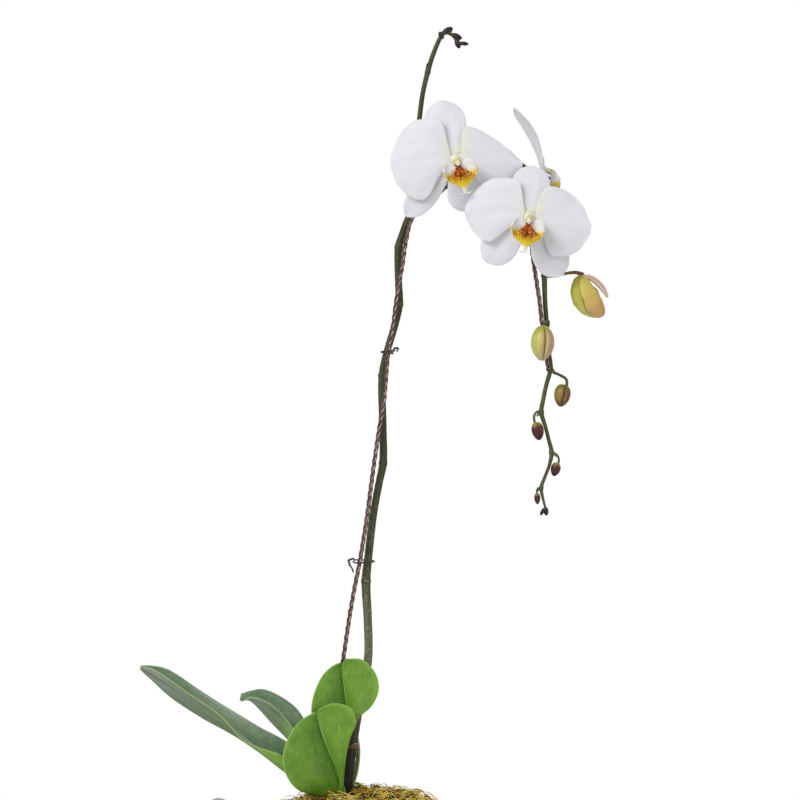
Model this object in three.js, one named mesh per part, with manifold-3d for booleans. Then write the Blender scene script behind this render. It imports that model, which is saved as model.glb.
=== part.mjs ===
// A potted moth orchid: glazed pot, bark, moss, four leaves, one arching flower spike on a wire stake,
// three open flowers and six buds. Millimetres, +Z up, origin at the middle of the pot's underside.
import * as THREE from 'three'
import { mergeVertices } from 'three/addons/utils/BufferGeometryUtils.js'
import Module from 'manifold-3d'

const wasm = await Module()
wasm.setup()

// pot and filling
const potHeight = 130
const potTopRadius = 75
const potBaseRadius = 55
const potWall = 4
const potFloor = 5
const barkTop = 126
const mossCrest = 151
const gap = 0.3

// plant
const crownAt = [-17, -3]
const crownRadius = 6
const leafThickness = 1.8
const tepalThickness = 0.9
const wireRadius = 1.9
const tieRadius = 0.7
const rootRadius = 3

// flowers: reach of a petal and of a sepal from the middle, and their half widths
const petalReach = 50
const petalHalf = 29
const sepalReach = 46
const sepalHalf = 15.5
const tepalStart = 3.6

const glaze = { color: 0xe9e7e1, roughness: 0.12, metalness: 0 }
const barkLook = { color: 0x6b4a31, roughness: 0.95, metalness: 0 }
const mossLook = { color: 0x8a7524, roughness: 0.95, metalness: 0 }
const leafLook = { color: 0x4e7d2a, roughness: 0.4, metalness: 0 }
const stemLook = { color: 0x48562f, roughness: 0.5, metalness: 0 }
const wireLook = { color: 0x5f3a34, roughness: 0.35, metalness: 1 }
const tieLook = { color: 0x22402a, roughness: 0.4, metalness: 0 }
const rootLook = { color: 0x99a4a0, roughness: 0.8, metalness: 0 }
const petalLook = { color: 0xf1f2f4, roughness: 0.55, metalness: 0 }
const lipLook = { color: 0xe6c84a, roughness: 0.5, metalness: 0 }
const budLook = { color: 0x9a9a5c, roughness: 0.5, metalness: 0 }

const root = new THREE.Group()
root.name = 'potted_orchid'

// ---------- solids ----------

function toSolid(geometry) {
  const plain = geometry.clone()
  plain.deleteAttribute('normal')
  plain.deleteAttribute('uv')
  const welded = mergeVertices(plain)
  return new wasm.Manifold(new wasm.Mesh({
    numProp: 3,
    vertProperties: new Float32Array(welded.attributes.position.array),
    triVerts: new Uint32Array(welded.index.array)
  }))
}

function toGeometry(solid) {
  const mesh = solid.simplify(0.06).getMesh()
  const geometry = new THREE.BufferGeometry()
  geometry.setAttribute('position', new THREE.BufferAttribute(new Float32Array(mesh.vertProperties), 3))
  geometry.setIndex(new THREE.BufferAttribute(new Uint32Array(mesh.triVerts), 1))
  geometry.computeVertexNormals()
  return geometry
}

function join(...geometries) {
  return toGeometry(wasm.Manifold.union(geometries.map(toSolid)))
}

// Takes the tools away and keeps the largest piece left.
function cut(geometry, ...tools) {
  let solid = toSolid(geometry)
  for (const tool of tools) {
    solid = solid.subtract(toSolid(tool))
  }
  const pieces = solid.decompose().sort((a, b) => b.volume() - a.volume())
  return toGeometry(pieces[0])
}

function addPart(name, geometry, look, parent = root) {
  const mesh = new THREE.Mesh(geometry, new THREE.MeshStandardMaterial(look))
  mesh.name = name
  parent.add(mesh)
  return mesh
}

const clamp = (value, low, high) => Math.min(high, Math.max(low, value))

// Value read off a list of [place, value] pairs, straight between them.
function along(pairs, place) {
  const last = pairs.length - 1
  let index = 0
  while (index < last - 1 && place > pairs[index + 1][0]) index += 1
  const [fromPlace, fromValue] = pairs[index]
  const [toPlace, toValue] = pairs[index + 1]
  const share = clamp((place - fromPlace) / (toPlace - fromPlace), 0, 1)
  return fromValue + (toValue - fromValue) * share
}

// Round tapered stalk through points [x, y, z, radius]. grow makes it fatter and longer, for cutters.
function stalk(points, { sides = 8, perSpan = 2, grow = 0 } = {}) {
  const curve = new THREE.CatmullRomCurve3(points.map((p) => new THREE.Vector3(p[0], p[1], p[2])))
  const spans = points.length - 1
  const rows = spans * perSpan
  const frames = []
  let across = new THREE.Vector3(0.31, 1, 0.17)
  for (let row = 0; row <= rows; row += 1) {
    const t = row / rows
    const tangent = curve.getTangent(t)
    across = across.clone().addScaledVector(tangent, -across.dot(tangent)).normalize()
    const at = curve.getPoint(t)
    if (row === 0) at.addScaledVector(tangent, -grow)
    if (row === rows) at.addScaledVector(tangent, grow)
    const place = t * spans
    const index = Math.min(spans - 1, Math.floor(place))
    const radius = THREE.MathUtils.lerp(points[index][3], points[index + 1][3], place - index)
    const up = new THREE.Vector3().crossVectors(across, tangent)
    frames.push({ at, across, up, radius: radius + grow })
  }
  const geometry = new THREE.CylinderGeometry(1, 1, 1, sides, rows)
  const position = geometry.attributes.position
  for (let i = 0; i < position.count; i += 1) {
    const frame = frames[Math.round((position.getY(i) + 0.5) * rows)]
    const point = frame.at.clone()
    point.addScaledVector(frame.across, position.getX(i) * frame.radius)
    point.addScaledVector(frame.up, position.getZ(i) * frame.radius)
    position.setXYZ(i, point.x, point.y, point.z)
  }
  return geometry
}

// Thin plate about surface(u, v), u -1..1 across it and v 0..1 along it.
function plate(surface, thickness, across, lengthwise, grow = 0) {
  const geometry = new THREE.BoxGeometry(2, 1, 2, across, lengthwise, 1)
  const position = geometry.attributes.position
  const step = 0.01
  for (let i = 0; i < position.count; i += 1) {
    const u = position.getX(i)
    const v = position.getY(i) + 0.5
    const side = position.getZ(i)
    const here = surface(u, v)
    const lowU = Math.max(-1, u - step)
    const highU = Math.min(1, u + step)
    const lowV = Math.max(0, v - step)
    const highV = Math.min(1, v + step)
    const du = surface(highU, v).sub(surface(lowU, v)).normalize()
    const dv = surface(u, highV).sub(surface(u, lowV)).normalize()
    const normal = new THREE.Vector3().crossVectors(du, dv).normalize()
    here.addScaledVector(normal, side * (thickness / 2 + grow))
    if (grow > 0) {
      const outward = new THREE.Vector3().crossVectors(dv, normal)
      const onward = new THREE.Vector3().crossVectors(normal, du)
      if (Math.abs(u) > 0.999) here.addScaledVector(outward, Math.sign(u) * grow)
      if (v < 0.001) here.addScaledVector(onward, -grow)
      if (v > 0.999) here.addScaledVector(onward, grow)
    }
    position.setXYZ(i, here.x, here.y, here.z)
  }
  return geometry
}

// Leaf blade between three lines of points: one margin, the midrib and the other margin.
function blade(near, rib, far, bulge, { grow = 0 } = {}) {
  const lines = [near, rib, far].map(
    (points) => new THREE.CatmullRomCurve3(points.map((p) => new THREE.Vector3(...p)))
  )
  const surface = (u, v) => {
    const middle = lines[1].getPoint(v)
    const edge = lines[u < 0 ? 0 : 2].getPoint(v)
    const spread = lines[2].getPoint(v).sub(lines[0].getPoint(v))
    const normal = new THREE.Vector3().crossVectors(spread, lines[1].getTangent(v)).normalize()
    const share = Math.abs(u)
    const lift = bulge * Math.sin(Math.PI * share) * Math.sin(Math.PI * clamp(v * 1.1, 0, 1))
    return middle.lerp(edge, share).addScaledVector(normal, lift)
  }
  return plate(surface, leafThickness, 8, 12, grow)
}

// ---------- pot and filling ----------

function lathe(profile, sides) {
  const geometry = new THREE.LatheGeometry(profile.map((p) => new THREE.Vector2(...p)), sides)
  return geometry.rotateX(Math.PI / 2)
}

const slope = (potTopRadius - potBaseRadius) / potHeight
const innerRadius = (z) => potBaseRadius + slope * z - potWall
const potGeometry = lathe([
  [0, 0],
  [potBaseRadius - 2, 0],
  [potBaseRadius, 2],
  [potBaseRadius + slope * 60, 60],
  [potTopRadius - 0.8, potHeight - 6],
  [potTopRadius, potHeight - 1.5],
  [potTopRadius - 2, potHeight],
  [potTopRadius - potWall, potHeight - 1.5],
  [innerRadius(60), 60],
  [innerRadius(potFloor + 3), potFloor + 3],
  [innerRadius(potFloor) - 4, potFloor],
  [0, potFloor]
], 40)
addPart('pot', potGeometry, glaze)

const barkBlock = lathe([
  [0, potFloor + 0.5],
  [innerRadius(potFloor) - 5, potFloor + 0.5],
  [innerRadius(potFloor + 3.5) - 1, potFloor + 3.5],
  [innerRadius(60) - 0.8, 60],
  [innerRadius(barkTop) - 0.9, barkTop],
  [0, barkTop]
], 32)

const mossBlock = lathe([
  [0, barkTop + gap],
  [innerRadius(barkTop) - 0.8, barkTop + gap],
  [70, 131],
  [64.5, 137.5],
  [56, 142.5],
  [42, 147.5],
  [24, 150.3],
  [0, mossCrest]
], 32)

// ---------- spike, wire and crown ----------

// Foot to first flower, each ring of the stem given a slightly larger radius.
const lowerSpike = [
  [-14, 8, 134, 4.2], [-12.5, 8, 150, 4.2], [-8.5, 9, 184, 4.4], [-3.5, 10, 212, 3.7], [2, 10, 236, 3.6],
  [5, 10, 260, 3.5], [4.5, 10, 289, 3.5], [3, 10, 320, 4.1], [5, 9, 341, 3.4], [9, 8, 375, 3.2],
  [14, 8, 402, 3.1], [17, 8, 417, 3.7], [17, 9, 445, 3.1], [16.5, 10, 489, 3.6], [20.5, 9, 509, 3],
  [27, 9, 531, 3], [30.5, 9, 548, 3.6], [30, 9, 566, 3], [30, 9, 595, 3.5], [33, 8, 605, 3], [39, 6, 620, 3]
]
// Over the top behind the flowers and down again.
const archSpike = [
  [49, 5, 632, 3], [64, 4, 646, 3], [80, 4, 657, 3], [96, 4, 664, 2.9], [112, 4, 666, 2.9],
  [127, 4, 659, 2.8],
  [138, 4, 645, 2.7], [145.5, 4, 623, 2.5], [149, 4, 597, 2.3], [150, 3, 571, 2.4], [150.5, 2, 551, 2],
  [152, 2, 530, 2.1], [153.5, 2, 510, 1.9]
]
// Zigzag hanging end, one bend at each bud.
const hangingSpike = [
  [155, 2, 495, 2], [151.5, 2, 481, 1.8], [149, 2, 469, 1.8], [147.5, 2, 459, 2.1], [151, 2, 447, 1.6],
  [153.5, 2, 437, 1.6], [156, 2, 426, 1.9], [154, 2, 415, 1.4], [150.5, 2, 406, 1.4], [147.5, 2, 397, 1.6],
  [149, 2, 388, 1.1], [151, 2, 380, 1]
]
const spikePoints = [...lowerSpike, ...archSpike, ...hangingSpike]
const spikeFat = stalk(spikePoints, { grow: gap })

function oval(from, to, radius, sides = 8, rows = 6) {
  const start = new THREE.Vector3(...from)
  const end = new THREE.Vector3(...to)
  const axis = end.clone().sub(start)
  const geometry = new THREE.SphereGeometry(1, sides, rows)
  geometry.scale(radius, axis.length() / 2, radius)
  const upright = new THREE.Vector3(0, 1, 0)
  const turn = new THREE.Quaternion().setFromUnitVectors(upright, axis.clone().normalize())
  geometry.applyQuaternion(turn)
  const middle = start.add(end).multiplyScalar(0.5)
  return geometry.translate(middle.x, middle.y, middle.z)
}

const spikeGeometry = join(
  stalk(spikePoints),
  oval([151, 2, 381], [151.6, 2, 374.4], 2.1),
  oval([149.8, 1.6, 380], [147, 1, 374.6], 1.5, 6, 5)
)

// Upward branch, growing out of the back of the spike, with its cluster of minute buds at the bent tip.
const branchPoints = [
  [37.5, 6.8, 616.5, 2.2], [38.8, 8.6, 623, 2.4], [40.6, 9.8, 632, 2.4], [42.5, 10, 650, 2.3],
  [44.5, 9, 675, 2.1], [47.5, 8, 704, 2.1], [50, 7, 722, 2.1],
  [54, 6, 739, 2.4], [58, 5, 752, 2], [64.5, 4, 767, 1.8], [68, 3, 771, 2], [73.5, 2, 769, 1.4],
  [77, 1, 765, 1.2]
]
const branchGeometry = join(
  stalk(branchPoints, { sides: 7 }),
  oval([66, 3.5, 770], [74.5, 2.4, 774.5], 2.8),
  oval([66.5, 3.5, 765.5], [63.5, 2.5, 771.5], 2.2),
  oval([73, 2, 769.5], [82, 1, 765.5], 2.5),
  oval([77, 1, 766], [80, 0, 757.5], 2.4),
  oval([79, 0.5, 762], [87.5, -0.5, 761], 1.7, 7, 5)
)
addPart('spike_branch', cut(branchGeometry, spikeFat), stemLook)

const wirePoints = [
  [-42, 5, 60], [-34.5, 4, 131], [-29.5, 3.5, 158], [-22, 3, 210], [-15.5, 2, 256], [-8, 1.8, 305],
  [-2, 1.5, 336], [3.5, 0.5, 370], [9, 0, 411], [14, 1.5, 445], [18, 3.4, 469], [21.5, 2.6, 509],
  [25.5, 1.5, 531], [28.5, 1.8, 554], [33, 2.4, 580], [36, 2, 600], [41, -1.5, 618], [51.5, -2.5, 629],
  [65.5, -3.5, 641], [80.5, -3.5, 651], [96, -3.5, 658], [111, -3.5, 660], [123, -3.5, 654],
  [132, -3.5, 641], [137, -2.5, 620],
  [138.5, -2, 596], [141, -2, 577], [145, -3, 551], [147, -3, 533], [149.5, -3, 514], [151.5, -3, 500],
  [152.5, -3, 493]
].map((p) => [...p, wireRadius])
const wireGeometry = cut(stalk(wirePoints, { sides: 6 }), spikeFat)
const wireFat = stalk(wirePoints, { sides: 6, grow: gap })
addPart('support_wire', wireGeometry, wireLook)

// Short stem of the plant, the thick roots it sends into the bark, and the short bases that carry
// the leaves and the flower spike.
const [crownX, crownY] = crownAt
const rootEnds = [[-38, -26, 44], [-40, 24, 56], [20, 26, 38], [18, -32, 50]]
const baseEnds = [[-24, -9, 144], [-27, 9.5, 146], [-16.5, -10.6, 144], [-18.5, -13, 143], [-13.8, 8, 134]]
function crown(grow) {
  const pieces = [stalk([
    [crownX, crownY, 104, 5], [crownX, crownY, 114, crownRadius], [crownX, crownY, 128, crownRadius],
    [crownX, crownY, 143, crownRadius - 0.5], [crownX, crownY - 0.5, 152, 3]
  ], { perSpan: 1, grow })]
  for (const [x, y, z] of rootEnds) {
    pieces.push(stalk([
      [crownX, crownY, 112, rootRadius],
      [crownX + (x - crownX) * 0.45, crownY + (y - crownY) * 0.45, 104, rootRadius],
      [crownX + (x - crownX) * 0.85, crownY + (y - crownY) * 0.85, 80, rootRadius], [x, y, z, 2.2]
    ], { sides: 6, grow }))
  }
  for (const end of baseEnds) {
    pieces.push(stalk([[crownX, crownY, 136, 4], [...end, 2.4]], { sides: 8, grow }))
  }
  return join(...pieces)
}
const crownFat = crown(gap)
addPart('crown', crown(0), stemLook)
addPart('flower_spike', cut(spikeGeometry, crownFat), stemLook)

// Silvery aerial root that climbs over the rim and arches down outside the pot.
const aerialPoints = [
  [-27, -12, 133.4], [-38, -17, 134.5], [-56, -22, 137], [-74, -25, 137.5], [-90, -27, 135.5],
  [-104, -28, 138.5], [-116, -29, 143.5], [-127, -30, 138], [-134, -30, 122], [-135, -29, 104],
  [-133, -28, 90]
].map((p) => [...p, rootRadius])
addPart('aerial_root', stalk(aerialPoints), rootLook)
const aerialFat = stalk(aerialPoints, { grow: gap })

// ---------- leaves ----------

// Long leaf to the left, folded to a V and arching.
const leafOne = [
  [[-24, -13, 149], [-41, -21, 163], [-65, -31, 181], [-93, -37, 193], [-113, -39, 213], [-137, -36, 230],
    [-161, -27, 246], [-173, -20, 251], [-179.5, -14, 251]],
  [[-24, -9, 144], [-39, -12, 150.5], [-60, -16, 164.5], [-84.5, -18, 183.5], [-104.5, -19, 197],
    [-130, -18, 211], [-156, -16, 228], [-170, -14, 240.5], [-180.5, -12.5, 249.5]],
  [[-24, -6, 152], [-36, -4, 169.5], [-62, -2, 189.5], [-85, 2, 200.5], [-108, 4, 215], [-134, 3, 231.5],
    [-160, -3, 248.5], [-172, -8.5, 251.8], [-180, -11, 251.8]]
]
// Shorter leaf behind it, its tip curled over.
const leafTwo = [
  [[-28, 7, 150], [-39.5, 8, 166.5], [-49.5, 12, 187], [-61.5, 18, 204], [-76, 24, 216.5], [-87, 31, 221.5],
    [-94, 38, 221], [-101, 41.5, 217.5]],
  [[-27, 9.5, 146.5], [-36.5, 15, 159], [-50, 23, 174.5], [-62.5, 30, 188.5], [-75.5, 36, 201],
    [-86, 40, 212],
    [-94, 43, 218.5], [-102.5, 44, 219]],
  [[-25, 13, 151], [-31.5, 21, 169.5], [-45, 34, 197], [-57, 44, 213], [-70, 50, 222], [-84, 52, 226.5],
    [-93.5, 50, 225.5], [-101.5, 46.5, 223.5]]
]
// Upright leaf behind, broad at the top.
const leafThree = [
  [[-18.5, -11.5, 146], [-22.5, -12, 163], [-31.5, -14, 185.5], [-40, -16, 207], [-41, -17, 219],
    [-38.5, -16, 231], [-32.5, -13, 243.5], [-25, -11, 251], [-18.5, -9, 254]],
  [[-16.5, -10.6, 145], [-17, -9.5, 160], [-15.5, -8.5, 181.5], [-14, -6.5, 202.5], [-13, -5, 219],
    [-14, -4.5, 229.5], [-15.5, -4.5, 240], [-16.5, -5, 247.5], [-16.5, -6.5, 253.5]],
  [[-14, -11.5, 146], [-14.5, -12, 163], [-11.5, -13, 185], [-3, -15, 208.5], [8.5, -17, 220], [14, -16, 233],
    [11, -13, 246.5], [0, -11, 257], [-13, -9, 257.5]]
]
// Upright leaf in front, leaning left.
const leafFour = [
  [[-22, -15, 146], [-39, -20, 148], [-53, -27, 154], [-61.5, -32, 167], [-63.5, -34, 180], [-60, -34, 194],
    [-50.5, -32, 208], [-43.5, -29, 213], [-37.5, -27, 215.5]],
  [[-18.5, -13, 144], [-17.5, -14, 152.5], [-18, -15, 161.5], [-22.5, -17, 175], [-27.5, -19, 187.5],
    [-32, -21, 199], [-34.5, -23, 207.5], [-36, -24, 212.5], [-36.3, -25, 216]],
  [[-15, -15, 146], [-14, -18, 156.5], [-13.5, -21, 168], [-11.5, -25, 182.5], [-8, -28, 196],
    [-3.5, -29, 208],
    [-9, -28, 220], [-22.5, -27, 223], [-34.5, -26, 218]]
]
const sheathLines = [
  [[-11, 14.5, 146], [-7, 15.5, 160], [-5, 16, 173], [-4.5, 15.5, 184], [-5, 15, 191]],
  [[-9.5, 13.8, 145], [-5.5, 14.8, 160], [-3.2, 15.2, 173], [-3.2, 14.8, 184], [-4.4, 14.6, 192]],
  [[-8.5, 12.6, 146], [-4.4, 13.2, 160], [-2.4, 13.4, 173], [-2.6, 13.6, 184], [-4, 14.2, 191.5]]
]
const leafFourFat = blade(...leafFour, 3, { grow: gap })
const leafOneFat = blade(...leafOne, 1.5, { grow: gap })
addPart('leaf_4', cut(blade(...leafFour, 3), crownFat, wireFat, spikeFat), leafLook)
addPart('leaf_1', cut(blade(...leafOne, 1.5), crownFat, wireFat, leafFourFat), leafLook)
addPart('leaf_3', cut(blade(...leafThree, 3), crownFat, wireFat, spikeFat, leafFourFat), leafLook)
addPart('leaf_2', cut(blade(...leafTwo, 1.5), crownFat, wireFat, spikeFat, leafOneFat), leafLook)
addPart('leaf_sheath', cut(blade(...sheathLines, 0), spikeFat, crownFat), leafLook)

// The moss stays clear of everything that rises through it, in a hollow round the crown.
const hollow = new THREE.CylinderGeometry(15, 11, 30, 20)
hollow.rotateX(Math.PI / 2)
hollow.translate(crownX, crownY, 136 + 15)
const leafRoom = [
  blade(...leafOne, 1.5, { grow: 2 * gap }), blade(...leafTwo, 1.5, { grow: 2 * gap }),
  blade(...leafThree, 3, { grow: 2 * gap }), blade(...leafFour, 3, { grow: 2 * gap }),
  blade(...sheathLines, 0, { grow: 2 * gap })
]
const dent = oval([-13, -12, 148], [-46, -22, 150], 4.5)
addPart('moss', cut(mossBlock, hollow, dent, crownFat, spikeFat, wireFat, aerialFat,
  ...leafRoom), mossLook)
addPart('potting_bark', cut(barkBlock, crownFat, wireFat), barkLook)

// ---------- ties ----------

// Fine wire looped once round the stem and the support wire, ends twisted off to one side.
function tie(centre, across, deep, turn, tail) {
  const points = []
  for (let i = 0; i <= 12; i += 1) {
    const angle = turn + (i / 12) * Math.PI * 2 * 0.97
    points.push([
      centre[0] + across * Math.cos(angle), centre[1] + deep * Math.sin(angle), centre[2] + (i / 12) * 2.4,
      tieRadius
    ])
  }
  for (const [x, y, z] of tail) {
    points.push([x, y, z, tieRadius])
  }
  return stalk(points, { sides: 6 })
}
const lowerTie = tie([1.6, 5.2, 335.5], 8.4, 8.6, Math.PI * 1.1, [
  [-8.6, 1.5, 339], [-11.4, 0, 337], [-10.2, -1, 333.5], [-8.4, -1, 330.5], [-7.6, -0.5, 328]
])
addPart('tie_lower', cut(lowerTie, spikeFat, wireFat), tieLook)
const upperTie = tie([20.6, 5.8, 507], 5, 7.8, Math.PI * 1.85, [
  [26.6, 0.5, 510.4], [28.8, -0.5, 512], [30, -0.8, 510.5], [28.6, -1, 508.6]
])
addPart('tie_upper', cut(upperTie, spikeFat, wireFat), tieLook)

// ---------- buds, each on its own short stalk ----------

function bud(name, stem, from, to, radius, sides = 12, rows = 8) {
  const body = join(stalk(stem, { sides: 6 }), oval(from, to, radius, sides, rows))
  addPart(name, cut(body, spikeFat, wireFat), budLook)
}
// The largest bud is pointed and about to open, with one sepal already lifting off.
const openingStem = [
  [152, 3, 570.5, 1.3], [157, 2, 570.5, 1.1], [165, 0, 572.5, 1.2], [175, -2, 573.5, 1.5], [181, -3, 571.5, 2]
]
const openingBody = [
  [181, -3, 571, 2], [179.5, -3, 567, 6.5], [179.8, -3.4, 559.9, 9.8], [182.7, -3.8, 553.2, 11.7],
  [187.1, -4.2, 546.4, 10.3], [191.5, -4.6, 541.7, 7], [194.6, -4.9, 538.8, 3.8], [196, -5, 537, 1]
]
const looseLine = [[181, 571.5], [187, 570.8], [193.5, 566.8], [198.5, 560.5], [201.3, 553.5]]
const looseSepal = plate((u, v) => {
  const x = along(looseLine.map((p, i) => [i / 4, p[0]]), v)
  const z = along(looseLine.map((p, i) => [i / 4, p[1]]), v)
  const width = 6.5 * Math.sin(Math.PI * (0.12 + 0.8 * v)) ** 0.7
  const bend = 1 - Math.cos(u * 1.25)
  return new THREE.Vector3(x - 0.75 * bend * width, -4 - Math.sin(u * 1.25) * width, z - 0.5 * bend * width)
}, 1.3, 6, 8)
addPart('bud_1', cut(join(stalk(openingStem, { sides: 6 }), stalk(openingBody, { sides: 12 }), looseSepal),
  spikeFat, wireFat), budLook)
bud('bud_2', [[153.5, 1.5, 530.5, 1.3], [152.8, -5.5, 533.5, 1.3], [149.5, -10, 531, 1.5],
  [148.3, -12, 526, 1.5]], [148, -12.5, 530], [147, -14, 501], 9.6)
bud('bud_3', [[156, 2, 492, 1.2], [162.5, 1, 489.5, 1.2], [168, 0, 486, 1.3], [168.5, 0, 481, 1.3],
  [166, 0, 476, 1.2]], [166, 0, 482], [162.5, 0, 463.5], 7)
bud('bud_4', [[147.5, 2, 459, 1.1], [143.5, 1, 459.5, 1.1], [140.8, 0, 456, 1.1], [142, 0, 447, 1.1]],
  [142.5, 0, 451], [145.5, -0.6, 436], 5.1, 10, 7)
bud('bud_5', [[156.5, 2, 426.5, 1], [160.5, 1, 424, 1], [162, 0, 420, 1], [160, 0, 413, 1]],
  [160.5, 0, 418], [157.2, 0, 406.5], 4.2, 10, 7)
bud('bud_6', [[147, 2, 396.5, 0.9], [144.6, 1, 396.5, 0.9], [143.4, 0, 393.5, 0.9], [144, 0, 389, 0.9]],
  [143.8, 0, 393], [144.2, 0, 383.5], 2.8, 9, 6)

// ---------- flowers ----------

// Half width against reach. The upper half of a petal is full from its foot, the lower half tapers into it.
const petalUpper = [[0, 0.1], [0.04, 0.25], [0.08, 0.52], [0.13, 0.88], [0.2, 0.97], [0.35, 1], [0.6, 0.95],
  [0.76, 0.78], [0.89, 0.53], [0.97, 0.22], [1, 0.12]]
const petalFan = [[0, 0.8], [0.02, 0.93], [0.07, 0.98], [0.27, 0.9], [0.45, 0.76], [0.62, 0.6], [0.8, 0.4],
  [0.95, 0.2], [1, 0.12]]
const petalRound = [[0, 0.5], [0.05, 0.85], [0.14, 0.96], [0.24, 0.99], [0.42, 0.95], [0.62, 0.82],
  [0.8, 0.59],
  [0.93, 0.29], [1, 0.12]]
const petalLower = [[0, 0.08], [0.13, 0.18], [0.23, 0.36], [0.38, 0.62], [0.53, 0.82], [0.67, 0.78],
  [0.84, 0.54], [0.93, 0.32], [1, 0.12]]
const petalBroad = [[0, 0.08], [0.12, 0.22], [0.24, 0.48], [0.34, 0.78], [0.45, 0.94], [0.6, 0.92],
  [0.76, 0.77], [0.88, 0.6], [0.95, 0.36], [1, 0.12]]
const sepalOutline = [[0, 0.12], [0.12, 0.36], [0.3, 0.72], [0.5, 0.96], [0.65, 1], [0.8, 0.9], [0.92, 0.63],
  [1, 0.18]]

// One tepal growing along +Y from the middle: fold drops its two halves, recurve bends its end back.
function tepal(outlines, reach, half, { fold, recurve, back }) {
  const surface = (u, v) => {
    const place = Math.sin(v * Math.PI / 2)
    const width = half * along(outlines[u > 0 ? 1 : 0], place)
    const run = (reach - tepalStart) * place
    const drop = Math.abs(u) * width * fold * place + recurve * place * place + back * run
    return new THREE.Vector3(u * width, tepalStart + run, -drop)
  }
  return plate(surface, tepalThickness, 8, 12)
}

// Lip: a wide, short front lobe narrowing to a tip, a cupped lobe on each side and a rounded callus.
function lip() {
  const front = plate((u, v) => {
    const width = along([[0, 2.2], [0.3, 3.2], [0.45, 8], [0.6, 10.5], [0.74, 6.5], [0.86, 2], [1, 1.1]], v)
    const y = along([[0, -3.6], [0.3, -11], [0.6, -20], [0.8, -24.5], [1, -30]], v)
    const z = along([[0, 3], [0.3, 9], [0.6, 13], [1, 9]], v)
    return new THREE.Vector3(u * width, y + u * u * v * 4, z - Math.abs(u) * width * 0.15)
  }, 1.4, 6, 10)
  const pieces = [front, new THREE.SphereGeometry(3.3, 10, 7).translate(0, -13, 10)]
  for (const side of [-1, 1]) {
    pieces.push(plate((u, v) => {
      const width = along([[0, 2.6], [0.12, 6.2], [0.25, 8.6], [0.42, 9], [0.6, 7.6], [0.85, 4.2],
        [1, 1.6]], v)
      const out = 1.2 + 12 * Math.sin(v * Math.PI / 2)
      const rise = 6.5 + 6 * v * v + 2.5 * u * u * v
      return new THREE.Vector3(side * out, -10.5 + side * u * width, rise)
    }, 1.2, 6, 8))
  }
  return join(...pieces)
}

// Column on the broad receptacle that all five tepals are fixed to.
function column() {
  const foot = tepalStart - gap
  return stalk([
    [0, 0, -3, 1.9], [0, 0, -2.2, foot], [0, 0, 1.2, foot], [0, -0.1, 2.1, 2.4], [0, -0.9, 5, 2.5],
    [0, -2.8, 8.3, 2.7], [0, -4.8, 10.4, 2.1]
  ], { sides: 16, perSpan: 1 })
}

// Where each tepal points, in degrees anticlockwise from straight up.
const tepalSet = [
  { name: 'petal_left', outlines: [petalLower, petalUpper], reach: petalReach, half: petalHalf, angle: 84 },
  { name: 'petal_right', outlines: [petalUpper, petalLower], reach: petalReach, half: petalHalf, angle: -84 },
  { name: 'dorsal_sepal', outlines: [sepalOutline, sepalOutline], reach: sepalReach, half: sepalHalf,
    angle: 0 },
  { name: 'lateral_sepal_left', outlines: [sepalOutline, sepalOutline], reach: sepalReach, half: sepalHalf,
    angle: 142 },
  { name: 'lateral_sepal_right', outlines: [sepalOutline, sepalOutline], reach: sepalReach, half: sepalHalf,
    angle: -142 }
]

// The flower faces -Y; yaw turns it about Z, pitch nods it, roll turns it about its own axis.
function flower(number, position, { yaw, pitch, roll }, stem, shapes) {
  const turned = new THREE.Group()
  turned.name = `flower_${number}_axis`
  turned.position.set(...position)
  turned.rotation.z = yaw
  root.add(turned)
  const group = new THREE.Group()
  group.name = `flower_${number}`
  group.rotation.set(Math.PI / 2 + pitch, 0, roll)
  turned.add(group)
  for (const { name, outlines, reach, half, angle } of tepalSet) {
    const isPetal = name.startsWith('petal')
    const shape = {
      outlines, size: 1, wide: 1, swing: 0, twist: 0, fold: isPetal ? 0.2 : 0.12,
      recurve: isPetal ? 3 : 4, back: isPetal ? 0.02 : 0.16, ...shapes[name]
    }
    const part = addPart(`flower_${number}_${name}`,
      tepal(shape.outlines, reach * shape.size, half * shape.wide, shape), petalLook, group)
    part.rotation.set(0, shape.twist, (angle + shape.swing) * Math.PI / 180, 'ZYX')
    part.position.z = isPetal ? 0.6 : -1.4
  }
  addPart(`flower_${number}_lip`, lip(), lipLook, group)
  addPart(`flower_${number}_column`, column(), petalLook, group)
  // The stalk ends just behind the column and stops short of the spike.
  root.updateMatrixWorld(true)
  const end = new THREE.Vector3(0, 0, -3 - gap).applyMatrix4(group.matrixWorld)
  const before = new THREE.Vector3(0, 0, -10).applyMatrix4(group.matrixWorld)
  const points = [
    ...stem.map((p) => [...p, 1.5]), [before.x, before.y, before.z, 1.7], [end.x, end.y, end.z, 1.9]
  ]
  addPart(`flower_${number}_pedicel`, cut(stalk(points), spikeFat, wireFat), stemLook)
}

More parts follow.
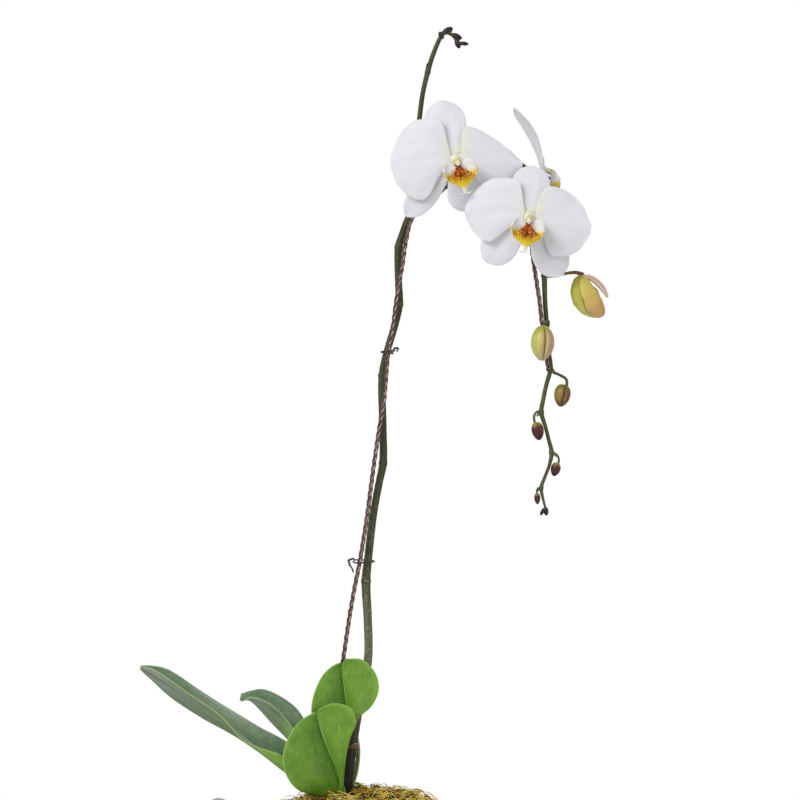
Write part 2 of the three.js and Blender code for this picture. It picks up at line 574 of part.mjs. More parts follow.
const nearOne = { yaw: 0.08, pitch: -0.05, roll: 0.23 }
flower(1, [76.5, -23, 664], nearOne, [[62, 4, 645], [64, 9, 652], [68, 6, 660]], {
  petal_left: { size: 1.06, wide: 1.2, swing: -7, outlines: [petalBroad, petalUpper] },
  petal_right: { size: 1.1, wide: 1.04, swing: -24, outlines: [petalFan, petalLower] },
  dorsal_sepal: { size: 1.12, wide: 1.08 },
  lateral_sepal_left: { size: 1.28, wide: 0.75, swing: -17 },
  lateral_sepal_right: { size: 0.92, swing: -32 }
})
const nearTwo = { yaw: -0.04, pitch: 0, roll: -0.13 }
flower(2, [136, -35, 617], nearTwo, [[141, 3, 638], [139.5, -4, 641], [138, -14, 633]], {
  petal_left: { size: 1.05, wide: 1.03, swing: 7 },
  petal_right: { size: 1.01, wide: 1, swing: -11, outlines: [petalRound, petalBroad] },
  dorsal_sepal: { size: 0.92, wide: 1, swing: 5 },
  lateral_sepal_left: { size: 1.08, wide: 1, swing: -1 },
  lateral_sepal_right: { size: 1.16, wide: 1, swing: -3 }
})
// The third flower faces right, so it stands edge-on with its dorsal sepal swept far back.
const edgeOn = { yaw: 1.53, pitch: 0, roll: 0 }
flower(3, [150, 31, 660], edgeOn, [[127, 5, 659.5], [126, 11, 664], [130, 22, 665]], {
  petal_left: { fold: 0.05, recurve: 1, back: 0.05, size: 0.82, wide: 0.5, swing: 20 },
  petal_right: { fold: 0.05, recurve: 1, back: 0.05, wide: 0.5, swing: -20 },
  dorsal_sepal: { size: 1.1, wide: 0.75, recurve: 20, back: 0.08, twist: 0.35 },
  lateral_sepal_left: { fold: 0.05, recurve: 1, back: 0.05, wide: 0.6, swing: 25 },
  lateral_sepal_right: { fold: 0.05, recurve: 1, back: 0.05, wide: 0.6, swing: 0 }
})

export default root
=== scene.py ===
import bpy
import numpy as np
from math import pi, radians, sin, cos
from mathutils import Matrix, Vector


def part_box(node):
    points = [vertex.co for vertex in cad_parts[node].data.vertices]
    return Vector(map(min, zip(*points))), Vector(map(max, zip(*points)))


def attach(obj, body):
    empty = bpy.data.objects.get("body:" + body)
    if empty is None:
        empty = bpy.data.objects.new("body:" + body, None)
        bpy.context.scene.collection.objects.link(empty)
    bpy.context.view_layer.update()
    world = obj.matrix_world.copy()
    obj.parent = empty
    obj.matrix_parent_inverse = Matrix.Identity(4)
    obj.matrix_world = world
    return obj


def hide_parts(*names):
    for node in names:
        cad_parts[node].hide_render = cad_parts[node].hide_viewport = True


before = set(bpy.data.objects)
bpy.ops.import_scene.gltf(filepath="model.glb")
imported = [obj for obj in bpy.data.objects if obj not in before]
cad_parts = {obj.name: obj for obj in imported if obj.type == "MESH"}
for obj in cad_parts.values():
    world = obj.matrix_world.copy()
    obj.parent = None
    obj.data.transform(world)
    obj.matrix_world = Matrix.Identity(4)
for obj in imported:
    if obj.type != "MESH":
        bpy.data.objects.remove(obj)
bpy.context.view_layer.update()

# Moth orchid in a glazed pot. Pieces are shaped in millimetres, and most are then laid on their node's box.
mm = 0.001
print("frame loaded:", len(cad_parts), "nodes")


# small tools

def toLinear(code):
    # sRGB hex to the linear colour that shaders want
    parts = [int(code[i:i + 2], 16) / 255 for i in (0, 2, 4)]
    return [c / 12.92 if c <= 0.04045 else ((c + 0.055) / 1.055) ** 2.4 for c in parts] + [1.0]


def addNode(tree, kind, settings=None):
    # attribute or input to its value: a socket is linked, hex becomes a colour, stops fill a ramp
    node = tree.nodes.new("ShaderNode" + kind)
    for key, value in (settings or {}).items():
        if key == "stops":
            ramp = node.color_ramp.elements
            while len(ramp) > 1:
                ramp.remove(ramp[-1])
            for index, (place, colour) in enumerate(value):
                stop = ramp.new(place) if index else ramp[0]
                stop.position = place
                stop.color = toLinear(colour) if isinstance(colour, str) else [colour] * 3 + [1.0]
        elif isinstance(value, bpy.types.NodeSocket):
            tree.links.new(value, node.inputs[key])
        elif isinstance(key, str) and hasattr(node, key):
            setattr(node, key, value)
        else:
            node.inputs[key].default_value = toLinear(value) if isinstance(value, str) else value
    return node


def newMaterial(name, **shader):
    material = bpy.data.materials.new(name)
    material.use_nodes = True
    tree = material.node_tree
    bsdf = tree.nodes["Principled BSDF"]
    for key, value in shader.items():
        bsdf.inputs[key.replace("_", " ")].default_value = value
    return material, tree, bsdf


def smoothTable(pairs):
    # [place, value] pairs as a smooth curve, ends kept
    places, values = np.array(pairs, float).T
    grid = np.linspace(0, 1, 240)
    table = np.interp(grid, places, values)
    for _ in range(60):
        table[1:-1] = (table[:-2] + 2 * table[1:-1] + table[2:]) / 4
    return lambda x: np.interp(x, grid, table)


def smoothLine(points, perSpan):
    # centripetal Catmull-Rom line; columns past the third are carried along straight
    points = np.array(points, float)
    xyz = points[:, :3]
    ends = np.vstack([2 * xyz[0] - xyz[1], xyz, 2 * xyz[-1] - xyz[-2]])
    rows = []
    for i in range(len(xyz) - 1):
        p0, p1, p2, p3 = ends[i:i + 4]
        d0, d1, d2 = (max(np.linalg.norm(b - a) ** 0.5, 1e-4) for a, b in ((p0, p1), (p1, p2), (p2, p3)))
        m1 = ((p1 - p0) / d0 - (p2 - p0) / (d0 + d1) + (p2 - p1) / d1) * d1
        m2 = ((p2 - p1) / d1 - (p3 - p1) / (d1 + d2) + (p3 - p2) / d2) * d1
        last = i == len(xyz) - 2
        for s in np.linspace(0, 1, perSpan + last, endpoint=last):
            at = ((2 * s - 3) * s * s + 1) * p1 + ((s - 2) * s + 1) * s * m1 + (3 - 2 * s) * s * s * p2
            at = at + (s - 1) * s * s * m2
            rows.append(np.append(at, points[i, 3:] * (1 - s) + points[i + 1, 3:] * s))
    return np.array(rows)


def resample(line, count):
    steps = np.linalg.norm(np.diff(line[:, :3], axis=0), axis=1)
    run = np.append(0, np.cumsum(steps))
    places = np.linspace(0, run[-1], count)
    return np.column_stack([np.interp(places, run, line[:, k]) for k in range(line.shape[1])])


class Shape:
    # vertices in millimetres, faces, one uv pair per vertex and one material index per face
    def __init__(self):
        self.verts = []
        self.uvs = []
        self.faces = []
        self.slots = []

    def add(self, verts, uvs, faces, slot=0):
        start = len(self.verts)
        self.verts.extend(np.asarray(verts, float).tolist())
        self.uvs.extend(np.asarray(uvs, float).tolist())
        self.faces.extend([[start + i for i in face] for face in faces])
        self.slots.extend([slot] * len(faces))

    def join(self, other):
        start = len(self.verts)
        self.verts.extend(other.verts)
        self.uvs.extend(other.uvs)
        self.faces.extend([[start + i for i in face] for face in other.faces])
        self.slots.extend(other.slots)

    def moved(self, change):
        self.verts = change(np.array(self.verts)).tolist()
        return self


def gridFaces(rows, columns, closed=False, flip=False):
    faces = []
    for r in range(rows - 1):
        for c in range(columns if closed else columns - 1):
            d = (c + 1) % columns
            face = [r * columns + c, r * columns + d, (r + 1) * columns + d, (r + 1) * columns + c]
            faces.append(face[::-1] if flip else face)
    return faces


def plateShape(surface, thickness, across, lengthwise, slots=(0, 1)):
    # thin closed plate about surface(u, v); its two faces can take different materials
    u, v = np.meshgrid(np.linspace(-1, 1, across + 1), np.linspace(0, 1, lengthwise + 1))
    mid = surface(u, v)
    du = np.gradient(mid, axis=1)
    dv = np.gradient(mid, axis=0)
    normal = np.cross(du, dv)
    normal /= np.maximum(np.linalg.norm(normal, axis=2, keepdims=True), 1e-9)
    edge = 0.3  # share of the thickness that is left at the rim
    inset = np.minimum(1 - np.abs(u), np.minimum(v, 1 - v) * 2.5)
    body = edge + (1 - edge) * np.clip(inset / 0.14, 0, 1) ** 0.5
    half = (thickness / 2 * body)[..., None]
    uv = np.column_stack([(u.ravel() + 1) / 2, v.ravel()])
    shape = Shape()
    rows, columns = lengthwise + 1, across + 1
    shape.add((mid + normal * half).reshape(-1, 3), uv, gridFaces(rows, columns), slots[0])
    shape.add((mid - normal * half).reshape(-1, 3), uv, gridFaces(rows, columns, flip=True), slots[1])
    ring = list(range(columns))
    ring += [r * columns + columns - 1 for r in range(1, rows)]
    ring += [(rows - 1) * columns + c for c in range(columns - 2, -1, -1)]
    ring += [r * columns for r in range(rows - 2, 0, -1)]
    size = rows * columns
    rim = [[a, a + size, b + size, b] for a, b in zip(ring, ring[1:] + ring[:1])]
    shape.faces.extend(rim)
    shape.slots.extend([slots[0]] * len(rim))
    return shape


def tubeShape(line, sides, section=None, slot=0):
    # sweep along line rows [x, y, z, radius]; section(angle, row) scales the radius
    at = line[:, :3]
    tangent = np.gradient(at, axis=0)
    tangent /= np.maximum(np.linalg.norm(tangent, axis=1, keepdims=True), 1e-9)
    side = np.array([0.31, 1, 0.17])
    angles = np.linspace(0, 2 * pi, sides, endpoint=False)
    run = np.append(0, np.cumsum(np.linalg.norm(np.diff(at, axis=0), axis=1)))
    verts, uvs = [], []
    for row in range(len(at)):
        side = side - tangent[row] * side.dot(tangent[row])
        side /= np.linalg.norm(side)
        up = np.cross(tangent[row], side)
        scale = line[row, 3] * (section(angles, run[row]) if section else 1.0)
        circle = np.outer(np.cos(angles) * scale, side) + np.outer(np.sin(angles) * scale, up)
        verts.extend(at[row] + circle)
        uvs.extend(np.column_stack([angles / (2 * pi), np.full(sides, run[row] / max(run[-1], 1e-6))]))
    faces = gridFaces(len(at), sides, closed=True)
    faces.append(list(range(sides))[::-1])
    last = (len(at) - 1) * sides
    faces.append([last + i for i in range(sides)])
    shape = Shape()
    shape.add(verts, uvs, faces, slot)
    return shape


def seatMap(shape, node):
    # the move that lays the shape's box exactly on the node's box
    low, high = (np.array(c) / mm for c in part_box(node))
    verts = np.array(shape.verts)
    own = (verts.min(0), verts.max(0))
    scale = (high - low) / np.maximum(own[1] - own[0], 1e-6)
    return lambda points: low + (np.asarray(points, float) - own[0]) * scale


def seat(shape, node):
    return shape.moved(seatMap(shape, node))


def makePiece(name, shape, materials, nodes, wrap=False):
    mesh = bpy.data.meshes.new(name)
    mesh.from_pydata((np.array(shape.verts) * mm).tolist(), [], shape.faces)
    layer = mesh.uv_layers.new(name="laid")
    corner = np.zeros(len(mesh.loops), int)
    mesh.loops.foreach_get("vertex_index", corner)
    uv = np.array(shape.uvs)[corner]
    # a face that closes a tube takes u past 1 instead of running back over the whole skin
    sizes = np.array([len(face) for face in shape.faces])
    starts = np.append(0, np.cumsum(sizes)[:-1])
    widest = np.repeat(np.maximum.reduceat(uv[:, 0], starts), sizes)
    uv[:, 0] += (widest - uv[:, 0] > 0.5) & (np.repeat(sizes, sizes) == 4) & wrap
    layer.data.foreach_set("uv", uv.ravel())
    for material in materials:
        mesh.materials.append(material)
    mesh.polygons.foreach_set("material_index", shape.slots)
    mesh.polygons.foreach_set("use_smooth", [True] * len(mesh.polygons))
    mesh.update()
    mesh.validate()
    piece = bpy.data.objects.new(name, mesh)
    bpy.context.scene.collection.objects.link(piece)
    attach(piece, "root")
    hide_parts(*nodes)


# camera, light and floor

view = {
    "from": (0.0312, -2.5, 0.469),
    "lens": 137.2,
    "keyPower": 42,
    "fillPower": 9,
    "rimPower": 14,
    "skyStrength": 0.5,
    "floorRadius": 0.95,
}


def lookAt(place, target):
    return (Vector(target) - Vector(place)).to_track_quat("-Z", "Y").to_euler()


def addLight(name, place, target, power, size):
    data = bpy.data.lights.new(name, "AREA")
    data.energy = power
    data.size = size
    lamp = bpy.data.objects.new(name, data)
    lamp.location = place
    lamp.rotation_euler = lookAt(place, target)
    bpy.context.scene.collection.objects.link(lamp)


def buildStudio():
    cameraData = bpy.data.cameras.new("camera")
    cameraData.lens = view["lens"]
    cameraData.sensor_width = 36
    cameraData.clip_end = 50
    camera = bpy.data.objects.new("camera", cameraData)
    camera.location = view["from"]
    camera.rotation_euler = (pi / 2, 0, 0)
    bpy.context.scene.collection.objects.link(camera)
    bpy.context.scene.camera = camera
    middle = (0.03, 0, 0.45)
    addLight("key_softbox", (-1.5, -1.7, 1.9), middle, view["keyPower"], 1.3)
    addLight("fill_softbox", (1.7, -1.9, 0.9), middle, view["fillPower"], 1.8)
    addLight("rim_softbox", (0.5, 1.8, 1.7), middle, view["rimPower"], 1.4)
    world = bpy.data.worlds.new("white_cove")
    bpy.context.scene.world = world
    world.use_nodes = True
    tree = world.node_tree
    tree.nodes.clear()
    path = addNode(tree, "LightPath")
    seen = addNode(tree, "Background", {"Color": (1, 1, 1, 1), "Strength": 1.0})
    sky = addNode(tree, "Background", {"Color": "f3f3f2", "Strength": view["skyStrength"]})
    both = addNode(tree, "MixShader", {0: path.outputs["Is Camera Ray"], 1: sky.outputs[0],
                                       2: seen.outputs[0]})
    addNode(tree, "OutputWorld", {"Surface": both.outputs[0]})
    bpy.context.scene.view_settings.view_transform = "Standard"
    bpy.context.scene.view_settings.look = "None"


def buildFloor():
    # matt painted board, just under the pot
    material, tree, bsdf = newMaterial("painted_board", Roughness=0.85)
    coords = addNode(tree, "TexCoord")
    grain = addNode(tree, "TexNoise", {"Scale": 40.0, "Detail": 3.0, "Vector": coords.outputs["Object"]})
    coat = addNode(tree, "ValToRGB", {"Fac": grain.outputs["Fac"],
                                      "stops": [(0.3, "e4e4e2"), (0.7, "ececea")]}).outputs[0]
    tree.links.new(coat, bsdf.inputs["Base Color"])
    angles = np.linspace(0, 2 * pi, 96, endpoint=False)
    ring = [(view["floorRadius"] * cos(a), view["floorRadius"] * sin(a), -0.0004) for a in angles]
    mesh = bpy.data.meshes.new("floor")
    mesh.from_pydata(ring, [], [list(range(96))])
    mesh.materials.append(material)
    floor = bpy.data.objects.new("floor", mesh)
    bpy.context.scene.collection.objects.link(floor)


buildStudio()
buildFloor()
print("studio ready")


# materials

def leafUpperMaterial(name, dark, light, foot, creased, streaks):
    # leaf, upper face: waxy cuticle grown over parallel veins, so a satin gloss with fine long streaks
    material, tree, bsdf = newMaterial(name, Roughness=0.42, IOR=1.4, Subsurface_Weight=0.06,
                                       Subsurface_Radius=(0.002, 0.004, 0.001), Subsurface_Scale=0.6)
    uv = addNode(tree, "TexCoord")
    split = addNode(tree, "SeparateXYZ", {"Vector": uv.outputs["UV"]})
    # veins about 0.9 mm apart over a blade 55 mm wide, many times longer than wide
    stretched = addNode(tree, "Mapping", {"Scale": (60.0, 2.6, 1.0), "Vector": uv.outputs["UV"]})
    veins = addNode(tree, "TexNoise", {"Scale": 1.0, "Detail": 3.0, "Roughness": 0.6,
                                       "Vector": stretched.outputs["Vector"]})
    # noise cells of 8 mm for blotches, and of 1.6 mm for short ticks
    blotch = addNode(tree, "TexNoise", {"Scale": 120.0, "Detail": 4.0, "Vector": uv.outputs["Object"]})
    longways = addNode(tree, "Mapping", {"Scale": (1.0, 1.0, 0.3), "Vector": uv.outputs["Object"]})
    ticks = addNode(tree, "TexNoise", {"Scale": 620.0, "Detail": 2.0, "Vector": longways.outputs[0]})
    # the half left of the midrib turns away from the light, most of all beside the crease
    if creased:
        halves = [(0.0, 0.6), (0.3, 0.5), (0.485, 0.22), (0.51, 0.75), (0.6, 0.6), (0.9, 0.55), (1.0, 0.8)]
    else:
        halves = [(0.0, 0.5), (0.48, 0.45), (0.5, 0.2), (0.54, 0.45), (1.0, 0.6)]
    tone = addNode(tree, "ValToRGB", {"Fac": split.outputs["X"], "stops": halves}).outputs[0]
    for source, amount in ((veins, streaks), (blotch, 0.6), (ticks, 0.5)):
        offset = addNode(tree, "Math", {"operation": "MULTIPLY_ADD", 1: amount, 2: -amount / 2,
                                        0: source.outputs["Fac"]})
        tone = addNode(tree, "Math", {"operation": "ADD", 0: tone, 1: offset.outputs[0]}).outputs[0]
    base = addNode(tree, "ValToRGB", {"Fac": tone, "stops": [(0.0, dark), (1.0, light)]}).outputs[0]
    mask = addNode(tree, "ValToRGB", {"Fac": split.outputs["Y"],
                                      "stops": [(0.0, 0.9), (0.3, 0.0)]}).outputs[0]
    base = addNode(tree, "Mix", {"data_type": "RGBA", 0: mask, 6: base, 7: foot}).outputs[2]
    if creased:
        # painted highlight: a bright line where the lit right half starts at the crease
        line = addNode(tree, "ValToRGB", {"Fac": split.outputs["X"],
                                          "stops": [(0.488, 0.0), (0.496, 0.85), (0.508, 0.85),
                                                    (0.52, 0.0)]}).outputs[0]
        base = addNode(tree, "Mix", {"data_type": "RGBA", 0: line, 6: base, 7: "c9dd92"}).outputs[2]
    # the thin margin is paler, and old scratches heal white
    fromRib = addNode(tree, "Math", {"operation": "SUBTRACT", 1: 0.5, 0: split.outputs["X"]})
    ribDistance = addNode(tree, "Math", {"operation": "ABSOLUTE", 0: fromRib.outputs[0]})
    mask = addNode(tree, "ValToRGB", {"Fac": ribDistance.outputs[0],
                                      "stops": [(0.485, 0.0), (0.5, 0.7)]}).outputs[0]
    base = addNode(tree, "Mix", {"data_type": "RGBA", 0: mask, 6: base, 7: "b9cd74"}).outputs[2]
    scratches = addNode(tree, "TexNoise", {"Scale": 260.0, "Detail": 1.0, "Distortion": 2.5,
                                           "Vector": uv.outputs["Object"]})
    mask = addNode(tree, "ValToRGB", {"Fac": scratches.outputs["Fac"],
                                      "stops": [(0.735, 0.0), (0.76, 0.6)]}).outputs[0]
    base = addNode(tree, "Mix", {"data_type": "RGBA", 0: mask, 6: base, 7: "c4d6a0"}).outputs[2]
    tree.links.new(base, bsdf.inputs["Base Color"])
    ripple = addNode(tree, "Bump", {"Height": veins.outputs["Fac"], "Distance": 0.0004, "Strength": 0.5})
    bump = addNode(tree, "Bump", {"Height": ticks.outputs["Fac"], "Distance": 0.00025, "Strength": 0.5,
                                  "Normal": ripple.outputs[0]})
    tree.links.new(bump.outputs[0], bsdf.inputs["Normal"])
    coat = addNode(tree, "ValToRGB", {"Fac": blotch.outputs["Fac"],
                                      "stops": [(0.35, 0.36), (0.7, 0.52)]}).outputs[0]
    tree.links.new(coat, bsdf.inputs["Roughness"])
    return material


def leafUnderMaterial(name, foot, middle, tip, stripe):
    # leaf, lower face: paler and duller, yellow-green at the foot, greyed and striped towards the tip
    material, tree, bsdf = newMaterial(name, Roughness=0.5, IOR=1.45, Subsurface_Weight=0.06,
                                       Subsurface_Radius=(0.002, 0.004, 0.001), Subsurface_Scale=0.6)
    uv = addNode(tree, "TexCoord")
    split = addNode(tree, "SeparateXYZ", {"Vector": uv.outputs["UV"]})
    stretched = addNode(tree, "Mapping", {"Scale": (46.0, 1.6, 1.0), "Vector": uv.outputs["UV"]})
    veins = addNode(tree, "TexNoise", {"Scale": 1.0, "Detail": 5.0, "Roughness": 0.75,
                                       "Vector": stretched.outputs["Vector"]})
    long = addNode(tree, "ValToRGB", {"Fac": split.outputs["Y"],
                                      "stops": [(0.0, foot), (0.34, foot), (0.5, middle),
                                                (0.85, tip)]}).outputs[0]
    streak = addNode(tree, "ValToRGB", {"Fac": veins.outputs["Fac"],
                                        "stops": [(0.44, 0.0), (0.54, 1.0)]}).outputs[0]
    upTheLeaf = addNode(tree, "ValToRGB", {"Fac": split.outputs["Y"],
                                           "stops": [(0.3, 0.15), (0.5, 0.75), (1.0, 0.85)]}).outputs[0]
    mask = addNode(tree, "Mix", {"data_type": "RGBA", "blend_type": "MULTIPLY", 0: 1.0, 6: streak,
                                 7: upTheLeaf}).outputs[2]
    base = addNode(tree, "Mix", {"data_type": "RGBA", 0: mask, 6: long, 7: stripe}).outputs[2]
    # painted shade darkens it beside the midrib, inside the fold; pale along the margin
    mask = addNode(tree, "ValToRGB", {"Fac": split.outputs["X"],
                                      "stops": [(0.0, 0.0), (0.3, 0.05), (0.5, 0.5),
                                                (0.7, 0.05)]}).outputs[0]
    base = addNode(tree, "Mix", {"data_type": "RGBA", 0: mask, 6: base, 7: "486a34"}).outputs[2]
    mask = addNode(tree, "ValToRGB", {"Fac": split.outputs["X"],
                                      "stops": [(0.0, 0.5), (0.015, 0.0), (0.985, 0.0),
                                                (1.0, 0.5)]}).outputs[0]
    base = addNode(tree, "Mix", {"data_type": "RGBA", 0: mask, 6: base, 7: "b9c79c"}).outputs[2]
    tree.links.new(base, bsdf.inputs["Base Color"])
    bump = addNode(tree, "Bump", {"Height": veins.outputs["Fac"], "Distance": 0.0004, "Strength": 0.55})
    tree.links.new(bump.outputs[0], bsdf.inputs["Normal"])
    return material


def petalMaterial(name, shade, light, throat):
    # petal flesh: a few cell layers full of air, so white, softly translucent and faintly sparkling
    material, tree, bsdf = newMaterial(name, Roughness=0.55, IOR=1.36, Subsurface_Weight=0.6,
                                       Subsurface_Radius=(0.004, 0.004, 0.0042), Subsurface_Scale=0.5,
                                       Sheen_Weight=0.15)
    uv = addNode(tree, "TexCoord")
    split = addNode(tree, "SeparateXYZ", {"Vector": uv.outputs["UV"]})
    # veins about 3 mm apart that fan from the claw
    stretched = addNode(tree, "Mapping", {"Scale": (18.0, 1.3, 1.0), "Vector": uv.outputs["UV"]})
    veins = addNode(tree, "TexNoise", {"Scale": 1.0, "Detail": 2.0, "Distortion": 0.3,
                                       "Vector": stretched.outputs["Vector"]})
    cells = addNode(tree, "TexNoise", {"Scale": 1400.0, "Detail": 1.0, "Vector": uv.outputs["Object"]})
    base = addNode(tree, "ValToRGB", {"Fac": veins.outputs["Fac"],
                                      "stops": [(0.3, shade), (0.7, light)]}).outputs[0]
    fade = addNode(tree, "ValToRGB", {"Fac": split.outputs["Y"],
                                      "stops": [(0.0, 0.9), (0.05, 0.4), (0.14, 0.0)]}).outputs[0]
    base = addNode(tree, "Mix", {"data_type": "RGBA", 0: fade, 6: base, 7: throat}).outputs[2]
    tree.links.new(base, bsdf.inputs["Base Color"])
    relief = addNode(tree, "Bump", {"Height": veins.outputs["Fac"], "Distance": 0.00025, "Strength": 0.12})
    bump = addNode(tree, "Bump", {"Height": cells.outputs["Fac"], "Distance": 0.00002, "Strength": 0.15,
                                  "Normal": relief.outputs[0]})
    tree.links.new(bump.outputs[0], bsdf.inputs["Normal"])
    return material


def lipMaterial():
    # lip flesh: waxy, red-brown blotches on orange round the callus, butter yellow lobe, cream tip
    material, tree, bsdf = newMaterial("lip_flesh", Roughness=0.38, IOR=1.38, Subsurface_Weight=0.15,
                                       Subsurface_Radius=(0.003, 0.002, 0.001), Subsurface_Scale=0.4)
    uv = addNode(tree, "TexCoord")
    split = addNode(tree, "SeparateXYZ", {"Vector": uv.outputs["UV"]})
    long = addNode(tree, "ValToRGB", {"Fac": split.outputs["Y"],
                                      "stops": [(0.0, "c07a2c"), (0.3, "cf7a22"), (0.45, "e0a020"),
                                                (0.58, "e8c418"), (0.76, "efd53c"), (0.86, "f4efcf"),
                                                (1.0, "f4f2ea")]}).outputs[0]
    # noise cells of 2.4 mm, so blotches about half that
    blots = addNode(tree, "TexNoise", {"Scale": 420.0, "Detail": 3.0, "Roughness": 0.6, "Distortion": 1.0,
                                       "Vector": uv.outputs["Object"]})
    marks = addNode(tree, "ValToRGB", {"Fac": blots.outputs["Fac"],
                                       "stops": [(0.42, 0.0), (0.5, 1.0)]}).outputs[0]
    near = addNode(tree, "ValToRGB", {"Fac": split.outputs["Y"],
                                      "stops": [(0.0, 1.0), (0.4, 1.0), (0.56, 0.55),
                                                (0.68, 0.0)]}).outputs[0]
    mask = addNode(tree, "Mix", {"data_type": "RGBA", "blend_type": "MULTIPLY", 0: 1.0, 6: marks,
                                 7: near}).outputs[2]
    base = addNode(tree, "Mix", {"data_type": "RGBA", 0: mask, 6: long, 7: "8c2c10"}).outputs[2]
    tree.links.new(base, bsdf.inputs["Base Color"])
    bump = addNode(tree, "Bump", {"Height": blots.outputs["Fac"], "Distance": 0.0005, "Strength": 0.5})
    tree.links.new(bump.outputs[0], bsdf.inputs["Normal"])
    return material


def lipWingMaterial():
    # the lip's side lobes: white cup, bright yellow low down inside, red-brown marks at the foot
    material, tree, bsdf = newMaterial("lip_wing_flesh", Roughness=0.45, IOR=1.37, Subsurface_Weight=0.15,
                                       Subsurface_Radius=(0.003, 0.0028, 0.002), Subsurface_Scale=0.4)
    uv = addNode(tree, "TexCoord")
    split = addNode(tree, "SeparateXYZ", {"Vector": uv.outputs["UV"]})
    height = addNode(tree, "ValToRGB", {"Fac": split.outputs["X"],
                                        "stops": [(0.0, "f2edc8"), (0.06, "ecc61c"), (0.33, "e6cc1a"),
                                                  (0.43, "efe6b0"), (0.54, "efefef")]}).outputs[0]
    blots = addNode(tree, "TexNoise", {"Scale": 520.0, "Detail": 3.0, "Distortion": 0.8,
                                       "Vector": uv.outputs["Object"]})
    marks = addNode(tree, "ValToRGB", {"Fac": blots.outputs["Fac"],
                                       "stops": [(0.4, 0.0), (0.5, 1.0)]}).outputs[0]
    near = addNode(tree, "ValToRGB", {"Fac": split.outputs["Y"],
                                      "stops": [(0.08, 1.0), (0.2, 0.6), (0.32, 0.0)]}).outputs[0]
    upper = addNode(tree, "ValToRGB", {"Fac": split.outputs["X"],
                                       "stops": [(0.5, 1.0), (0.75, 0.0)]}).outputs[0]
    mask = addNode(tree, "Mix", {"data_type": "RGBA", "blend_type": "MULTIPLY", 0: 1.0, 6: near,
                                 7: upper}).outputs[2]
    base = addNode(tree, "Mix", {"data_type": "RGBA", 0: mask, 6: height, 7: "dd8f1c"}).outputs[2]
    low = addNode(tree, "ValToRGB", {"Fac": split.outputs["X"],
                                     "stops": [(0.35, 1.0), (0.6, 0.0)]}).outputs[0]
    close = addNode(tree, "Mix", {"data_type": "RGBA", "blend_type": "MULTIPLY", 0: 1.0, 6: near,
                                  7: low}).outputs[2]
    mask = addNode(tree, "Mix", {"data_type": "RGBA", "blend_type": "MULTIPLY", 0: 1.0, 6: marks,
                                 7: close}).outputs[2]
    base = addNode(tree, "Mix", {"data_type": "RGBA", 0: mask, 6: base, 7: "8f2c0d"}).outputs[2]
    tree.links.new(base, bsdf.inputs["Base Color"])
    bump = addNode(tree, "Bump", {"Height": blots.outputs["Fac"], "Distance": 0.0002, "Strength": 0.3})
    tree.links.new(bump.outputs[0], bsdf.inputs["Normal"])
    return material


def columnMaterial():
    # column: waxy and pale, yellow-green below the white cap
    material, tree, bsdf = newMaterial("column_flesh", Roughness=0.4, IOR=1.38)
    coords = addNode(tree, "TexCoord")
    split = addNode(tree, "SeparateXYZ", {"Vector": coords.outputs["UV"]})
    cloud = addNode(tree, "TexNoise", {"Scale": 500.0, "Detail": 2.0, "Vector": coords.outputs["Object"]})
    base = addNode(tree, "ValToRGB", {"Fac": split.outputs["Y"],
                                      "stops": [(0.0, "eeeee6"), (0.45, "e9e6cc"), (0.75, "d6d48a"),
                                                (1.0, "e8e0b4")]}).outputs[0]
    mask = addNode(tree, "ValToRGB", {"Fac": cloud.outputs["Fac"],
                                      "stops": [(0.5, 0.0), (0.66, 0.5)]}).outputs[0]
    base = addNode(tree, "Mix", {"data_type": "RGBA", 0: mask, 6: base, 7: "b9a860"}).outputs[2]
    tree.links.new(base, bsdf.inputs["Base Color"])
    bump = addNode(tree, "Bump", {"Height": cloud.outputs["Fac"], "Distance": 0.0003, "Strength": 0.4})
    tree.links.new(bump.outputs[0], bsdf.inputs["Normal"])
    return material


